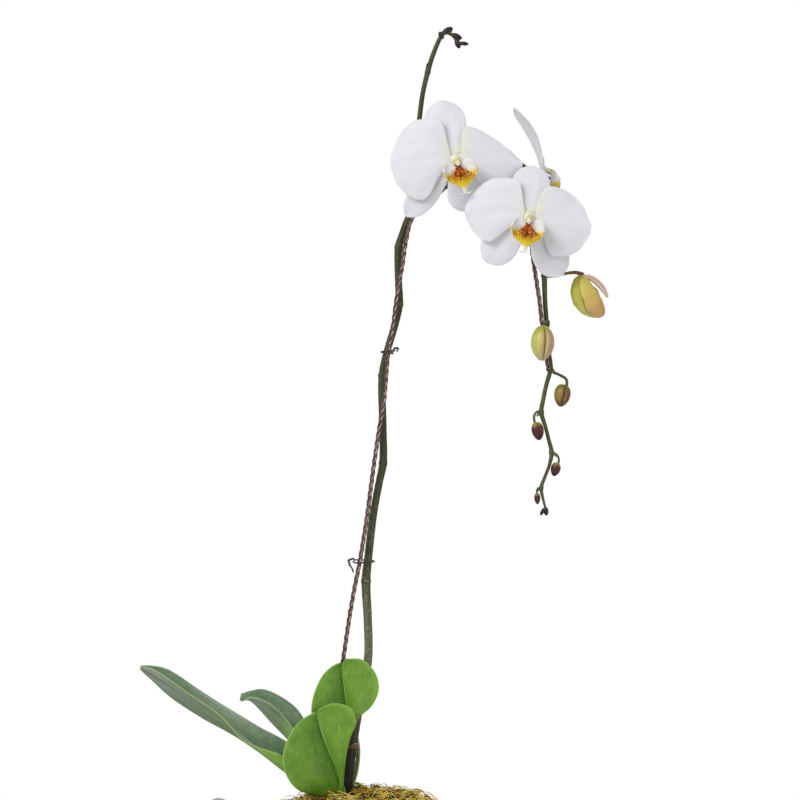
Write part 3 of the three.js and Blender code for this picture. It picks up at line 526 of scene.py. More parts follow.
def stemMaterial():
    # flower spike skin: green tissue, nearly black at the foot (partly its own dark colour, partly painted
    # shade under the leaves), freckled, then green above
    material, tree, bsdf = newMaterial("spike_skin", Roughness=0.48, IOR=1.42)
    coords = addNode(tree, "TexCoord")
    split = addNode(tree, "SeparateXYZ", {"Vector": coords.outputs["Object"]})
    height = addNode(tree, "MapRange", {"From Min": 0.13, "From Max": 0.67, "Value": split.outputs["Z"]})
    # the nearly black stops at the foot are partly painted shade under the leaves
    tint = addNode(tree, "ValToRGB", {"Fac": height.outputs[0],
                                      "stops": [(0.0, "1c1c1a"), (0.09, "24241f"), (0.15, "5b6044"),
                                                (0.33, "656a48"), (0.37, "4b4e34"), (0.62, "3f4426"),
                                                (0.9, "383f14"), (1.0, "45461a")]}).outputs[0]
    rightwards = addNode(tree, "MapRange", {"From Min": 0.11, "From Max": 0.14,
                                            "Value": split.outputs["X"]})
    across = addNode(tree, "ValToRGB", {"Fac": rightwards.outputs[0],
                                        "stops": [(0.0, 0.0), (1.0, 1.0)]}).outputs[0]
    base = addNode(tree, "Mix", {"data_type": "RGBA", 0: across, 6: tint, 7: "4a5522"}).outputs[2]
    freckle = addNode(tree, "TexNoise", {"Scale": 420.0, "Detail": 3.0, "Roughness": 0.7,
                                         "Vector": coords.outputs["Object"]})
    lowDown = addNode(tree, "ValToRGB", {"Fac": height.outputs[0],
                                         "stops": [(0.1, 0.08), (0.2, 0.7), (0.36, 0.6),
                                                   (0.5, 0.15)]}).outputs[0]
    lower = addNode(tree, "ValToRGB", {"Fac": freckle.outputs["Fac"],
                                       "stops": [(0.5, 0.0), (0.62, 0.8)]}).outputs[0]
    marks = addNode(tree, "Mix", {"data_type": "RGBA", "blend_type": "MULTIPLY", 0: 1.0, 6: lower,
                                  7: lowDown}).outputs[2]
    base = addNode(tree, "Mix", {"data_type": "RGBA", 0: marks, 6: base, 7: "a3a78f"}).outputs[2]
    longways = addNode(tree, "Mapping", {"Scale": (1.0, 1.0, 0.08), "Vector": coords.outputs["Object"]})
    streak = addNode(tree, "TexNoise", {"Scale": 260.0, "Detail": 2.0, "Vector": longways.outputs[0]})
    mask = addNode(tree, "ValToRGB", {"Fac": streak.outputs["Fac"],
                                      "stops": [(0.45, 0.0), (0.65, 0.4)]}).outputs[0]
    base = addNode(tree, "Mix", {"data_type": "RGBA", 0: mask, 6: base, 7: "2e3320"}).outputs[2]
    tree.links.new(base, bsdf.inputs["Base Color"])
    bump = addNode(tree, "Bump", {"Height": freckle.outputs["Fac"], "Distance": 0.0003, "Strength": 0.4})
    tree.links.new(bump.outputs[0], bsdf.inputs["Normal"])
    return material


def bractMaterial():
    # dry sheath at each ring of the spike: papery brown with pale torn edges
    material, tree, bsdf = newMaterial("dry_bract", Roughness=0.7)
    uv = addNode(tree, "TexCoord")
    split = addNode(tree, "SeparateXYZ", {"Vector": uv.outputs["UV"]})
    stretched = addNode(tree, "Mapping", {"Scale": (22.0, 2.0, 1.0), "Vector": uv.outputs["UV"]})
    fibre = addNode(tree, "TexNoise", {"Scale": 1.0, "Detail": 3.0, "Vector": stretched.outputs["Vector"]})
    mask = addNode(tree, "ValToRGB", {"Fac": fibre.outputs["Fac"],
                                      "stops": [(0.35, 0.0), (0.7, 1.0)]}).outputs[0]
    base = addNode(tree, "Mix", {"data_type": "RGBA", 0: mask, 6: "5a4630", 7: "8d7a52"}).outputs[2]
    mask = addNode(tree, "ValToRGB", {"Fac": split.outputs["Y"],
                                      "stops": [(0.7, 0.0), (1.0, 0.8)]}).outputs[0]
    base = addNode(tree, "Mix", {"data_type": "RGBA", 0: mask, 6: base, 7: "c9bd98"}).outputs[2]
    tree.links.new(base, bsdf.inputs["Base Color"])
    bump = addNode(tree, "Bump", {"Height": fibre.outputs["Fac"], "Distance": 0.0003, "Strength": 0.6})
    tree.links.new(bump.outputs[0], bsdf.inputs["Normal"])
    return material


seamTurn = 31  # degrees round a bud from its first side to its first seam


def budMaterial(name, cap, left, right, tipColour, streakColour, seamShade):
    # bud skin: waxy closed sepals, blushed on one side, with painted shade darkening the sunken seams
    # between them
    material, tree, bsdf = newMaterial(name, Roughness=0.38, IOR=1.4, Subsurface_Weight=0.1,
                                       Subsurface_Radius=(0.003, 0.003, 0.001), Subsurface_Scale=0.5)
    uv = addNode(tree, "TexCoord")
    split = addNode(tree, "SeparateXYZ", {"Vector": uv.outputs["UV"]})
    normal = addNode(tree, "SeparateXYZ", {"Vector": uv.outputs["Normal"]})
    mask = addNode(tree, "ValToRGB", {"Fac": normal.outputs["X"],
                                      "stops": [(0.05, 0.0), (0.4, 1.0)]}).outputs[0]
    base = addNode(tree, "Mix", {"data_type": "RGBA", 0: mask, 6: left, 7: right}).outputs[2]
    stretched = addNode(tree, "Mapping", {"Scale": (30.0, 1.8, 1.0), "Vector": uv.outputs["UV"]})
    streaks = addNode(tree, "TexNoise", {"Scale": 1.0, "Detail": 3.0,
                                         "Vector": stretched.outputs["Vector"]})
    mask = addNode(tree, "ValToRGB", {"Fac": streaks.outputs["Fac"],
                                      "stops": [(0.45, 0.0), (0.62, 0.75)]}).outputs[0]
    base = addNode(tree, "Mix", {"data_type": "RGBA", 0: mask, 6: base, 7: streakColour}).outputs[2]
    mask = addNode(tree, "ValToRGB", {"Fac": split.outputs["Y"],
                                      "stops": [(0.12, 1.0), (0.3, 0.0)]}).outputs[0]
    base = addNode(tree, "Mix", {"data_type": "RGBA", 0: mask, 6: base, 7: cap}).outputs[2]
    mask = addNode(tree, "ValToRGB", {"Fac": split.outputs["Y"],
                                      "stops": [(0.6, 0.0), (0.95, 0.85)]}).outputs[0]
    base = addNode(tree, "Mix", {"data_type": "RGBA", 0: mask, 6: base, 7: tipColour}).outputs[2]
    # three seams, a third of a turn apart, each darkened with painted shade
    thirds = addNode(tree, "Math", {"operation": "MULTIPLY_ADD", 1: 3.0, 2: -seamTurn / 120,
                                    0: split.outputs["X"]})
    part = addNode(tree, "Math", {"operation": "FRACT", 0: thirds.outputs[0]})
    centred = addNode(tree, "Math", {"operation": "SUBTRACT", 1: 0.5, 0: part.outputs[0]})
    seam = addNode(tree, "Math", {"operation": "ABSOLUTE", 0: centred.outputs[0]})
    mask = addNode(tree, "ValToRGB", {"Fac": seam.outputs[0],
                                      "stops": [(0.43, 0.0), (0.5, 0.95)]}).outputs[0]
    base = addNode(tree, "Mix", {"data_type": "RGBA", 0: mask, 6: base, 7: seamShade}).outputs[2]
    tree.links.new(base, bsdf.inputs["Base Color"])
    bump = addNode(tree, "Bump", {"Height": streaks.outputs["Fac"], "Distance": 0.0002, "Strength": 0.4})
    tree.links.new(bump.outputs[0], bsdf.inputs["Normal"])
    return material


def sepalSkinMaterial(name, body, blush, rims):
    # skin of one sepal of the opening bud: yellow-green, blushed towards the tip, bright along its thin rim
    material, tree, bsdf = newMaterial(name, Roughness=0.4, IOR=1.4, Subsurface_Weight=0.12,
                                       Subsurface_Radius=(0.003, 0.003, 0.001), Subsurface_Scale=0.5)
    uv = addNode(tree, "TexCoord")
    split = addNode(tree, "SeparateXYZ", {"Vector": uv.outputs["UV"]})
    stretched = addNode(tree, "Mapping", {"Scale": (14.0, 1.6, 1.0), "Vector": uv.outputs["UV"]})
    streaks = addNode(tree, "TexNoise", {"Scale": 1.0, "Detail": 4.0,
                                         "Vector": stretched.outputs["Vector"]})
    mask = addNode(tree, "ValToRGB", {"Fac": split.outputs["Y"],
                                      "stops": [(0.3, 0.0), (0.8, 0.9)]}).outputs[0]
    base = addNode(tree, "Mix", {"data_type": "RGBA", 0: mask, 6: body, 7: blush}).outputs[2]
    mask = addNode(tree, "ValToRGB", {"Fac": streaks.outputs["Fac"],
                                      "stops": [(0.42, 0.0), (0.62, 0.55)]}).outputs[0]
    base = addNode(tree, "Mix", {"data_type": "RGBA", 0: mask, 6: base, 7: blush}).outputs[2]
    mask = addNode(tree, "ValToRGB", {"Fac": split.outputs["X"],
                                      "stops": [(0.0, 1.0), (0.07, 0.0)]}).outputs[0]
    base = addNode(tree, "Mix", {"data_type": "RGBA", 0: mask, 6: base, 7: rims[0]}).outputs[2]
    mask = addNode(tree, "ValToRGB", {"Fac": split.outputs["X"],
                                      "stops": [(0.93, 0.0), (1.0, 1.0)]}).outputs[0]
    base = addNode(tree, "Mix", {"data_type": "RGBA", 0: mask, 6: base, 7: rims[1]}).outputs[2]
    tree.links.new(base, bsdf.inputs["Base Color"])
    bump = addNode(tree, "Bump", {"Height": streaks.outputs["Fac"], "Distance": 0.0003, "Strength": 0.4})
    tree.links.new(bump.outputs[0], bsdf.inputs["Normal"])
    return material


def wireMaterial():
    # lacquered steel wire: drawn, coated burgundy-brown and twisted, so tight warm highlights on each lay
    material, tree, bsdf = newMaterial("lacquered_wire", Metallic=0.9, Roughness=0.25)
    coords = addNode(tree, "TexCoord")
    wear = addNode(tree, "TexNoise", {"Scale": 500.0, "Detail": 3.0, "Vector": coords.outputs["Object"]})
    coat = addNode(tree, "ValToRGB", {"Fac": wear.outputs["Fac"],
                                      "stops": [(0.35, "5a4542"), (0.7, "9c857d")]}).outputs[0]
    tree.links.new(coat, bsdf.inputs["Base Color"])
    coat = addNode(tree, "ValToRGB", {"Fac": wear.outputs["Fac"],
                                      "stops": [(0.3, 0.16), (0.7, 0.32)]}).outputs[0]
    tree.links.new(coat, bsdf.inputs["Roughness"])
    return material


def tieMaterial():
    # garden tie: soft wire dipped in dark green plastic, with a dull sheen
    material, tree, bsdf = newMaterial("green_tie_wire", Roughness=0.35, IOR=1.5)
    coords = addNode(tree, "TexCoord")
    dirt = addNode(tree, "TexNoise", {"Scale": 700.0, "Detail": 2.0, "Vector": coords.outputs["Object"]})
    coat = addNode(tree, "ValToRGB", {"Fac": dirt.outputs["Fac"],
                                      "stops": [(0.35, "141d18"), (0.7, "31423a")]}).outputs[0]
    tree.links.new(coat, bsdf.inputs["Base Color"])
    coat = addNode(tree, "ValToRGB", {"Fac": dirt.outputs["Fac"],
                                      "stops": [(0.3, 0.28), (0.7, 0.5)]}).outputs[0]
    tree.links.new(coat, bsdf.inputs["Roughness"])
    return material


def mossMaterial(name, dark, middle, light):
    # dried sheet moss: matt curled fibres in mixed straw, olive and rust
    material, tree, bsdf = newMaterial(name, Roughness=0.9)
    coords = addNode(tree, "TexCoord")
    patch = addNode(tree, "TexNoise", {"Scale": 75.0, "Detail": 3.0, "Vector": coords.outputs["Object"]})
    coat = addNode(tree, "ValToRGB", {"Fac": patch.outputs["Fac"],
                                      "stops": [(0.32, dark), (0.5, middle), (0.68, light)]}).outputs[0]
    tree.links.new(coat, bsdf.inputs["Base Color"])
    fine = addNode(tree, "TexNoise", {"Scale": 1500.0, "Detail": 2.0, "Vector": coords.outputs["Object"]})
    bump = addNode(tree, "Bump", {"Height": fine.outputs["Fac"], "Distance": 0.0003, "Strength": 0.6})
    tree.links.new(bump.outputs[0], bsdf.inputs["Normal"])
    return material


def barkMaterial():
    # milled fir bark: rough and layered, with painted shade making it nearly black in the gaps between
    # chips
    material, tree, bsdf = newMaterial("fir_bark", Roughness=0.95)
    coords = addNode(tree, "TexCoord")
    chips = addNode(tree, "TexVoronoi", {"Scale": 90.0, "Vector": coords.outputs["Object"]})
    coat = addNode(tree, "ValToRGB", {"Fac": chips.outputs["Distance"],
                                      "stops": [(0.0, "6d4c33"), (0.5, "4a3020"),
                                                (0.9, "1d120c")]}).outputs[0]
    tree.links.new(coat, bsdf.inputs["Base Color"])
    bump = addNode(tree, "Bump", {"Height": chips.outputs["Distance"], "Distance": 0.002, "Strength": 0.8})
    tree.links.new(bump.outputs[0], bsdf.inputs["Normal"])
    return material


def rootMaterial():
    # aerial root: silvery dead velamen over green, pitted and matt, with a green growing tip
    material, tree, bsdf = newMaterial("root_velamen", Roughness=0.8)
    uv = addNode(tree, "TexCoord")
    split = addNode(tree, "SeparateXYZ", {"Vector": uv.outputs["UV"]})
    pits = addNode(tree, "TexNoise", {"Scale": 300.0, "Detail": 4.0, "Vector": uv.outputs["Object"]})
    base = addNode(tree, "ValToRGB", {"Fac": pits.outputs["Fac"],
                                      "stops": [(0.35, "7f8f86"), (0.65, "b2bbb4")]}).outputs[0]
    mask = addNode(tree, "ValToRGB", {"Fac": split.outputs["Y"],
                                      "stops": [(0.9, 0.0), (0.97, 0.9)]}).outputs[0]
    base = addNode(tree, "Mix", {"data_type": "RGBA", 0: mask, 6: base, 7: "6f9440"}).outputs[2]
    tree.links.new(base, bsdf.inputs["Base Color"])
    bump = addNode(tree, "Bump", {"Height": pits.outputs["Fac"], "Distance": 0.0004, "Strength": 0.5})
    tree.links.new(bump.outputs[0], bsdf.inputs["Normal"])
    return material


def glazeMaterial():
    # stoneware pot: dipped in a warm white glaze and fired, so a clear gloss over a slightly uneven coat
    material, tree, bsdf = newMaterial("white_glaze", Roughness=0.12, IOR=1.52)
    coords = addNode(tree, "TexCoord")
    cloud = addNode(tree, "TexNoise", {"Scale": 22.0, "Detail": 4.0, "Vector": coords.outputs["Object"]})
    specks = addNode(tree, "TexNoise", {"Scale": 650.0, "Detail": 1.0, "Vector": coords.outputs["Object"]})
    base = addNode(tree, "ValToRGB", {"Fac": cloud.outputs["Fac"],
                                      "stops": [(0.35, "dedad1"), (0.65, "ece9e2")]}).outputs[0]
    mask = addNode(tree, "ValToRGB", {"Fac": specks.outputs["Fac"],
                                      "stops": [(0.7, 0.0), (0.76, 0.5)]}).outputs[0]
    base = addNode(tree, "Mix", {"data_type": "RGBA", 0: mask, 6: base, 7: "a79f90"}).outputs[2]
    tree.links.new(base, bsdf.inputs["Base Color"])
    coat = addNode(tree, "ValToRGB", {"Fac": cloud.outputs["Fac"],
                                      "stops": [(0.3, 0.09), (0.7, 0.2)]}).outputs[0]
    tree.links.new(coat, bsdf.inputs["Roughness"])
    bump = addNode(tree, "Bump", {"Height": cloud.outputs["Fac"], "Distance": 0.0012, "Strength": 0.15})
    tree.links.new(bump.outputs[0], bsdf.inputs["Normal"])
    return material


glaze = glazeMaterial()
bark = barkMaterial()
mossGold = mossMaterial("dry_moss_gold", "c9a526", "eacb46", "fbf2a6")
mossRust = mossMaterial("dry_moss_rust", "5a3416", "9a6220", "c99a44")
# the darkest fibres; the same skin on the bed under the strands is painted shade in the gaps
mossDark = mossMaterial("dry_moss_dark", "16120a", "2e2410", "4b3c16")
leafUpper = leafUpperMaterial("leaf_upper_cuticle", "2f6209", "86b43e", "528c1a", True, 0.45)
# a darker copy of the upper leaf skin for the leaves lying in shade, so painted shade; its pale blue-grey
# streaks are a painted sheen
leafInnerShaded = leafUpperMaterial("leaf_shaded_cuticle", "1f4614", "8ea888", "2c5612", False, 1.1)
leafUnder = leafUnderMaterial("leaf_under_cuticle", "8cc028", "8aa470", "aab2aa", "324a2c")
sheathSkin = leafUnderMaterial("sheath_cuticle", "9db95a", "93b055", "a9b978", "7f9a4c")
stemSkin = stemMaterial()
dryBract = bractMaterial()
petalFlesh = petalMaterial("petal_flesh", "e0e0e7", "e8e8ee", "e6e8cc")
sepalFlesh = petalMaterial("sepal_flesh", "dcdce5", "e6e6ec", "e3e8c2")
lipFlesh = lipMaterial()
wingFlesh = lipWingMaterial()
columnFlesh = columnMaterial()
wireCoat = wireMaterial()
tieCoat = tieMaterial()
rootSkin = rootMaterial()
print("materials ready")


# pot and filling

pot = {"sides": 128, "lip": 2.2, "wall": 4.0, "floor": 5.0}


def buildPot():
    low, high = (np.array(c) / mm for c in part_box("pot"))
    top = (high[0] - low[0]) / 2
    height = high[2]
    foot = top - 20
    slope = (top - foot) / height
    outer = [(0.0, 1.2), (foot - 7, 1.2), (foot - 6, 0.0), (foot - 2.2, 0.0), (foot - 0.6, 0.6),
             (foot, 2.2)]
    outer += [(foot + slope * z, z) for z in np.linspace(8, height - 9, 14)]
    outer += [(top - 1.0, height - 7.0), (top - 0.2, height - 4.6), (top, height - 2.6),
              (top - 0.5, height - 0.9)]
    outer += [(top - 1.8, height), (top - 3.3, height - 0.6), (top - pot["wall"], height - 2.4)]
    inner = [(foot + slope * z - pot["wall"], z) for z in np.linspace(height - 8, pot["floor"] + 3, 10)]
    inner += [(foot - pot["wall"] - 3, pot["floor"]), (0.0, pot["floor"])]
    profile = np.array(outer + inner)
    angles = np.linspace(0, 2 * pi, pot["sides"], endpoint=False)
    verts, uvs = [], []
    for row, (radius, z) in enumerate(profile):
        radius = max(radius, 0.05)
        verts.extend(np.column_stack([radius * np.cos(angles), radius * np.sin(angles),
                                      np.full(pot["sides"], z)]))
        uvs.extend(np.column_stack([angles / (2 * pi), np.full(pot["sides"], row / len(profile))]))
    shape = Shape()
    faces = gridFaces(len(profile), pot["sides"], closed=True)
    faces.append(list(range(pot["sides"]))[::-1])
    last = (len(profile) - 1) * pot["sides"]
    faces.append([last + i for i in range(pot["sides"])])
    shape.add(verts, uvs, faces)
    makePiece("glazed_pot", seat(shape, "pot"), [glaze], ["pot"])


buildPot()
for node, skin in (("potting_bark", bark), ("crown", sheathSkin)):
    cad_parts[node].data.materials.clear()
    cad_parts[node].data.materials.append(skin)

moss = {
    "strands": 3400, "longest": 24.0, "thickness": 0.3, "seed": 11, "bed": 4.6,
    # the plant stands here, in a dish this wide and deep, and strands root outside the clear radius
    "plant": [-17, -3], "dish": 13, "sink": 6.5, "clear": 11,
    "profile": [[0, 151], [24, 150.3], [42, 147.5], [56, 142.5], [64.5, 137.5], [70, 131]],
    # single fibres that stand clear of the rest
    "stray": [
        [[33, -20, 144], [38, -23, 149], [44, -25, 152.5], [49, -26, 152], [52, -26, 148.5],
         [56, -27, 146]],
        [[36, -28, 143], [43, -30, 146], [50, -30, 150], [57, -31, 149], [59, -31, 146]],
        [[-44, -24, 143], [-50, -26, 146], [-55, -27, 146.5], [-57, -28, 144], [-54, -29, 142]],
        [[8, -30, 147], [12, -33, 153], [17, -33, 155], [20, -32, 152.5], [18, -31, 150]],
        [[-8, -34, 147], [-5, -36, 151], [0, -37, 152], [4, -36, 150]]],
}


def buildMoss():
    low, high = (np.array(c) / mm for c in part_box("moss"))
    reach = (high[0] - low[0]) / 2
    rng = np.random.default_rng(moss["seed"])
    outline = np.array(moss["profile"], float)
    plantX, plantY = moss["plant"]
    waves = [(rng.uniform(0.08, 0.5), rng.uniform(0, 2 * pi), rng.uniform(0, 2 * pi)) for _ in range(26)]

    def bedAt(x, y):
        z = np.interp(np.hypot(x, y), outline[:, 0], outline[:, 1]) - moss["bed"]
        for size, way, phase in waves:
            z = z + np.sin((x * cos(way) + y * sin(way)) * size + phase) * 0.16 / size ** 0.5
        return z - moss["sink"] * np.exp(-(np.hypot(x - plantX, y - plantY) / moss["dish"]) ** 4)

    rings, sides = 46, 150
    verts, uvs = [], []
    angles = np.linspace(0, 2 * pi, sides, endpoint=False)
    for ring in range(rings + 1):
        radius = reach * 0.985 * (ring + 0.02) / (rings + 0.02)
        x, y = radius * np.cos(angles), radius * np.sin(angles)
        verts.extend(np.column_stack([x, y, bedAt(x, y)]))
        uvs.extend(np.column_stack([x, y]))
    verts.extend(np.column_stack([reach * 0.98 * np.cos(angles), reach * 0.98 * np.sin(angles),
                                  np.full(sides, low[2])]))
    uvs.extend(np.column_stack([angles, angles]))
    shape = Shape()
    faces = gridFaces(rings + 2, sides, closed=True, flip=True)
    faces.append(list(range(sides)))
    last = (rings + 1) * sides
    faces.append([last + i for i in range(sides)][::-1])
    # the bed under the strands takes the dark moss skin: painted shade in the gaps between strands
    shape.add(verts, uvs, faces, 2)
    taper = np.array([0.7, 1, 1, 1, 1, 1, 0.95, 0.9, 0.8, 0.65, 0.4])
    for _ in range(moss["strands"]):
        radius, way = reach * 0.96 * rng.uniform(0, 1) ** 0.6, rng.uniform(0, 2 * pi)
        at = np.array([radius * cos(way), radius * sin(way), 0.0])
        if np.hypot(at[0] - plantX, at[1] - plantY) < moss["clear"]:
            continue
        at[2] = bedAt(at[0], at[1]) - 0.5
        length = moss["longest"] * rng.uniform(0.35, 1.0)
        heading, lift = rng.uniform(0, 2 * pi), rng.uniform(0.0, 1.1)
        curl = rng.uniform(0.15, 0.65) * rng.choice([-1, 1])
        points = [at]
        for step in range(10):
            heading += curl + rng.normal(0, 0.12)
            lift -= rng.uniform(0.08, 0.26)
            move = np.array([cos(heading) * cos(lift), sin(heading) * cos(lift), sin(lift)])
            points.append(points[-1] + move * length / 10)
        line = np.array(points)
        if np.hypot(line[:, 0], line[:, 1]).max() > reach + 1:
            continue
        line[:, 2] = np.maximum(line[:, 2], bedAt(line[:, 0], line[:, 1]) - 0.2)
        girth = moss["thickness"] * rng.uniform(0.6, 1.4)
        # more of the darker rust strands on the left, under the leaves: partly their own colour, partly
        # painted shade
        rust = 0.3 if at[0] < -10 else 0.06
        slot = rng.choice([0, 1, 2], p=[0.76 - rust, rust, 0.24])
        shape.join(tubeShape(np.column_stack([line, girth * taper]), 4, slot=int(slot)))
    for index, points in enumerate(moss["stray"]):
        line = smoothLine([[*p, 0.28] for p in points], 6)
        shape.join(tubeShape(line, 5, slot=2 if index % 2 == 0 else 0))
    makePiece("moss_strands", shape, [mossGold, mossRust, mossDark], ["moss"])


buildMoss()
print("pot and moss ready")


# spike, branch, wire, ties and root

spike = {
    "lower": [
        [-14, 8, 134, 4.4], [-12.5, 8, 150, 4.3], [-8.5, 9, 184, 4.3], [-3.5, 10, 212, 3.7],
        [2, 10, 236, 3.6],
        [5, 10, 260, 3.5], [4.5, 10, 289, 3.5], [3, 10, 320, 3.8], [5, 9, 341, 3.4], [9, 8, 375, 3.2],
        [14, 8, 402, 3.1], [17, 8, 417, 3.3], [17, 9, 445, 3.1], [16.5, 10, 489, 3.2], [20.5, 9, 509, 3],
        [27, 9, 531, 3], [30.5, 9, 548, 3.2], [30, 9, 566, 3], [30, 9, 595, 3.2], [33, 8, 605, 3],
        [39, 6, 620, 3]],
    "arch": [
        [49, 5, 632, 3], [64, 4, 646, 3], [80, 4, 657, 3], [96, 4, 664, 2.9], [112, 4, 666, 2.9],
        [127, 4, 659, 2.8],
        [138, 4, 645, 2.7], [145.5, 4, 623, 2.5], [149, 4, 597, 2.3], [150, 3, 571, 2.3],
        [150.5, 2, 551, 2],
        [152, 2, 530, 2], [153.5, 2, 510, 1.9]],
    "hanging": [
        [155, 2, 495, 2], [151.5, 2, 481, 1.8], [149, 2, 469, 1.8], [147.5, 2, 459, 2], [151, 2, 447, 1.6],
        [153.5, 2, 437, 1.6], [156, 2, 426, 1.9], [154, 2, 415, 1.4], [150.5, 2, 406, 1.4],
        [147.5, 2, 397, 1.6],
        [149, 2, 388, 1.1], [151, 2, 380, 1]],
    # height of each ring, length of its dry sheath and the side it sits on, in degrees round the stem
    "rings": [[184, 4.5, -60], [320, 1.8, -90], [417, 0, 0], [489, 0, 0], [548, 2.5, 240], [595, 0, 0]],
    # bends of the hanging end, with the way the small scale on each one points
    "bends": [[155, 2, 495, -20], [147.5, 2, 459, 200], [156, 2, 426, 0], [147.5, 2, 397, 180]],
    "budJoint": [150, 3, 571],
}


def oval(fromPoint, toPoint, radius, sides=14, rows=10, slot=0):
    start, end = np.array(fromPoint, float), np.array(toPoint, float)
    places = (1 - np.cos(np.linspace(0, pi, rows + 1))) / 2
    swell = np.sqrt(np.maximum(places * (1 - places), 0)) * 2
    line = np.column_stack([start + (end - start) * places[:, None], np.maximum(swell * radius, 0.03)])
    return tubeShape(line, sides, slot=slot)


def rowAtHeight(line, height):
    # nearest row on the rising part of the stem
    return int(np.argmin(np.abs(line[:, 2] - height) + np.where(line[:, 0] > 60, 999, 0)))


def ringSheath(line, height, side, radius, length):
    # small torn sheath wrapped round part of the stem above a ring
    row = rowAtHeight(line, height)
    at = line[row, :3]
    along = line[row + 3, :3] - at
    along /= np.linalg.norm(along)

    def surface(u, v):
        angle = radians(side) + u * (1.25 - 0.95 * v ** 1.5)
        out = radius + 0.2 + 0.08 * length * v ** 2
        rise = v * length - 1.2  # starts a little below the ring
        return np.stack([at[0] + out * np.cos(angle) + along[0] * rise,
                         at[1] + out * np.sin(angle) + along[1] * rise,
                         at[2] + along[2] * rise + 0 * u], axis=-1)
    return plateShape(surface, 0.4, 12, 10, slots=(1, 1))


def ringBumps(line, heights, width, rise):
    # a narrow raised ring round the stem at each height
    for height, *_ in heights:
        near = np.where(line[:, 0] < 60, np.abs(line[:, 2] - height), 99)
        line[:, 3] += rise * np.exp(-(near / width) ** 2)
    return line


def buildSpike():
    points = spike["lower"] + spike["arch"] + spike["hanging"]
    line = resample(smoothLine(points, 8), 620)
    line = ringBumps(line, spike["rings"], 1.3, 0.55)
    for x, y, z in [bend[:3] for bend in spike["bends"]] + [spike["budJoint"]]:
        away = np.linalg.norm(line[:, :3] - [x, y, z], axis=1)
        line[:, 3] += 0.45 * np.exp(-(away / 1.6) ** 2)

    def fluted(angles, run):
        return 1 + 0.025 * np.sin(3 * angles + run * 0.02) + 0.015 * np.sin(run * 0.9)

    shape = tubeShape(line, 16, section=fluted)
    shape.join(oval([151, 2, 381.5], [151.8, 2, 374.2], 2.1, slot=2))
    shape.join(oval([149.8, 1.6, 380.5], [146.9, 1, 374.4], 1.5, slot=2))
    # the narrow scar at each ring is dry and pale
    middles = np.array([np.mean([shape.verts[i] for i in face], axis=0) for face in shape.faces])
    for height, length, _ in spike["rings"]:
        near = (np.abs(middles[:, 2] - height) < 0.7) & (middles[:, 0] < 60)
        for index in np.flatnonzero(near if length else []):
            shape.slots[index] = 1
    move = seatMap(shape, "flower_spike")
    for height, length, side in spike["rings"]:
        if length:
            row = rowAtHeight(line, height)
            shape.join(ringSheath(line, height, side, line[row, 3], length))
    for x, y, z, way in spike["bends"]:
        tipX, tipZ = x + 4.2 * cos(radians(way)), z - 3.5
        shape.join(oval([x, y, z + 1], [tipX, y - 1, tipZ], 1.1, slot=1, rows=8, sides=8))
    shape.verts = move(shape.verts).tolist()
    makePiece("spike_stem", shape, [stemSkin, dryBract, darkBud], ["flower_spike"])


def buildBranch():
    line = smoothLine([
        [38, 7.6, 619.5, 2.2], [38.8, 8.6, 623, 2.4], [40.6, 9.8, 632, 2.4], [42.5, 10, 650, 2.3],
        [44.5, 9, 675, 2.1], [47.5, 8, 704, 2.1], [50, 7, 722, 2.0],
        [54, 6, 739, 2.1], [58, 5, 752, 2], [64.5, 4, 767, 1.8], [68, 3, 771, 2], [73.5, 2, 769, 1.4],
        [77, 1, 765, 1.2]], 12)
    away = np.abs(line[:, 2] - 739)
    line[:, 3] += 0.5 * np.exp(-(away / 1.5) ** 2)
    shape = tubeShape(line, 16)
    for start, end, radius in (
            ([66, 3.5, 770], [74.5, 2.4, 774.5], 2.8), ([66.5, 3.5, 765.5], [63.5, 2.5, 771.5], 2.2),
            ([73, 2, 769.5], [82, 1, 765.5], 2.5), ([77, 1, 766], [80, 0, 757.5], 2.4),
            ([79, 0.5, 762], [87.5, -0.5, 761], 1.7)):
        shape.join(oval(start, end, radius, slot=2))
    shape = seat(shape, "spike_branch")

    def surface(u, v):
        angle = pi * 0.9 + u * (1.3 - 1.0 * v ** 1.4)
        out = 2.35 + 0.8 * v ** 2
        return np.stack([53.6 + out * np.cos(angle) + v * 2.6, 6 + out * np.sin(angle),
                         737 + v * 9 + 0 * u], axis=-1)
    shape.join(plateShape(surface, 0.35, 10, 8, slots=(1, 1)))
    makePiece("branch_stem", shape, [stemSkin, dryBract, darkBud], ["spike_branch"])


stake = {"strand": 0.92, "lay": 21.0, "sides": 8, "strands": 3, "route": [
    [-42, 5, 60], [-34.5, 4, 131], [-29.5, 3.5, 158], [-22, 3, 210], [-15.5, 2, 256], [-8, 1.8, 305],
    [-2, 1.5, 336], [3.5, 0.5, 370], [9, 0, 411], [14, 1.5, 445], [18, 3.4, 469], [21.5, 2.6, 509],
    [25.5, 1.5, 531],
    [28.5, 1.8, 554], [33, 2.4, 580], [36, 2, 600], [41, -1.5, 618], [51.5, -2.5, 629], [65.5, -3.5, 641],
    [80.5, -3.5, 651], [96, -3.5, 658], [111, -3.5, 660], [123, -3.5, 654], [132, -3.5, 641],
    [137, -2.5, 620],
    [138.5, -2, 596], [141, -2, 577], [145, -3, 551], [147, -3, 533], [149.5, -3, 514], [151.5, -3, 500],
    [152.5, -3, 493]]}


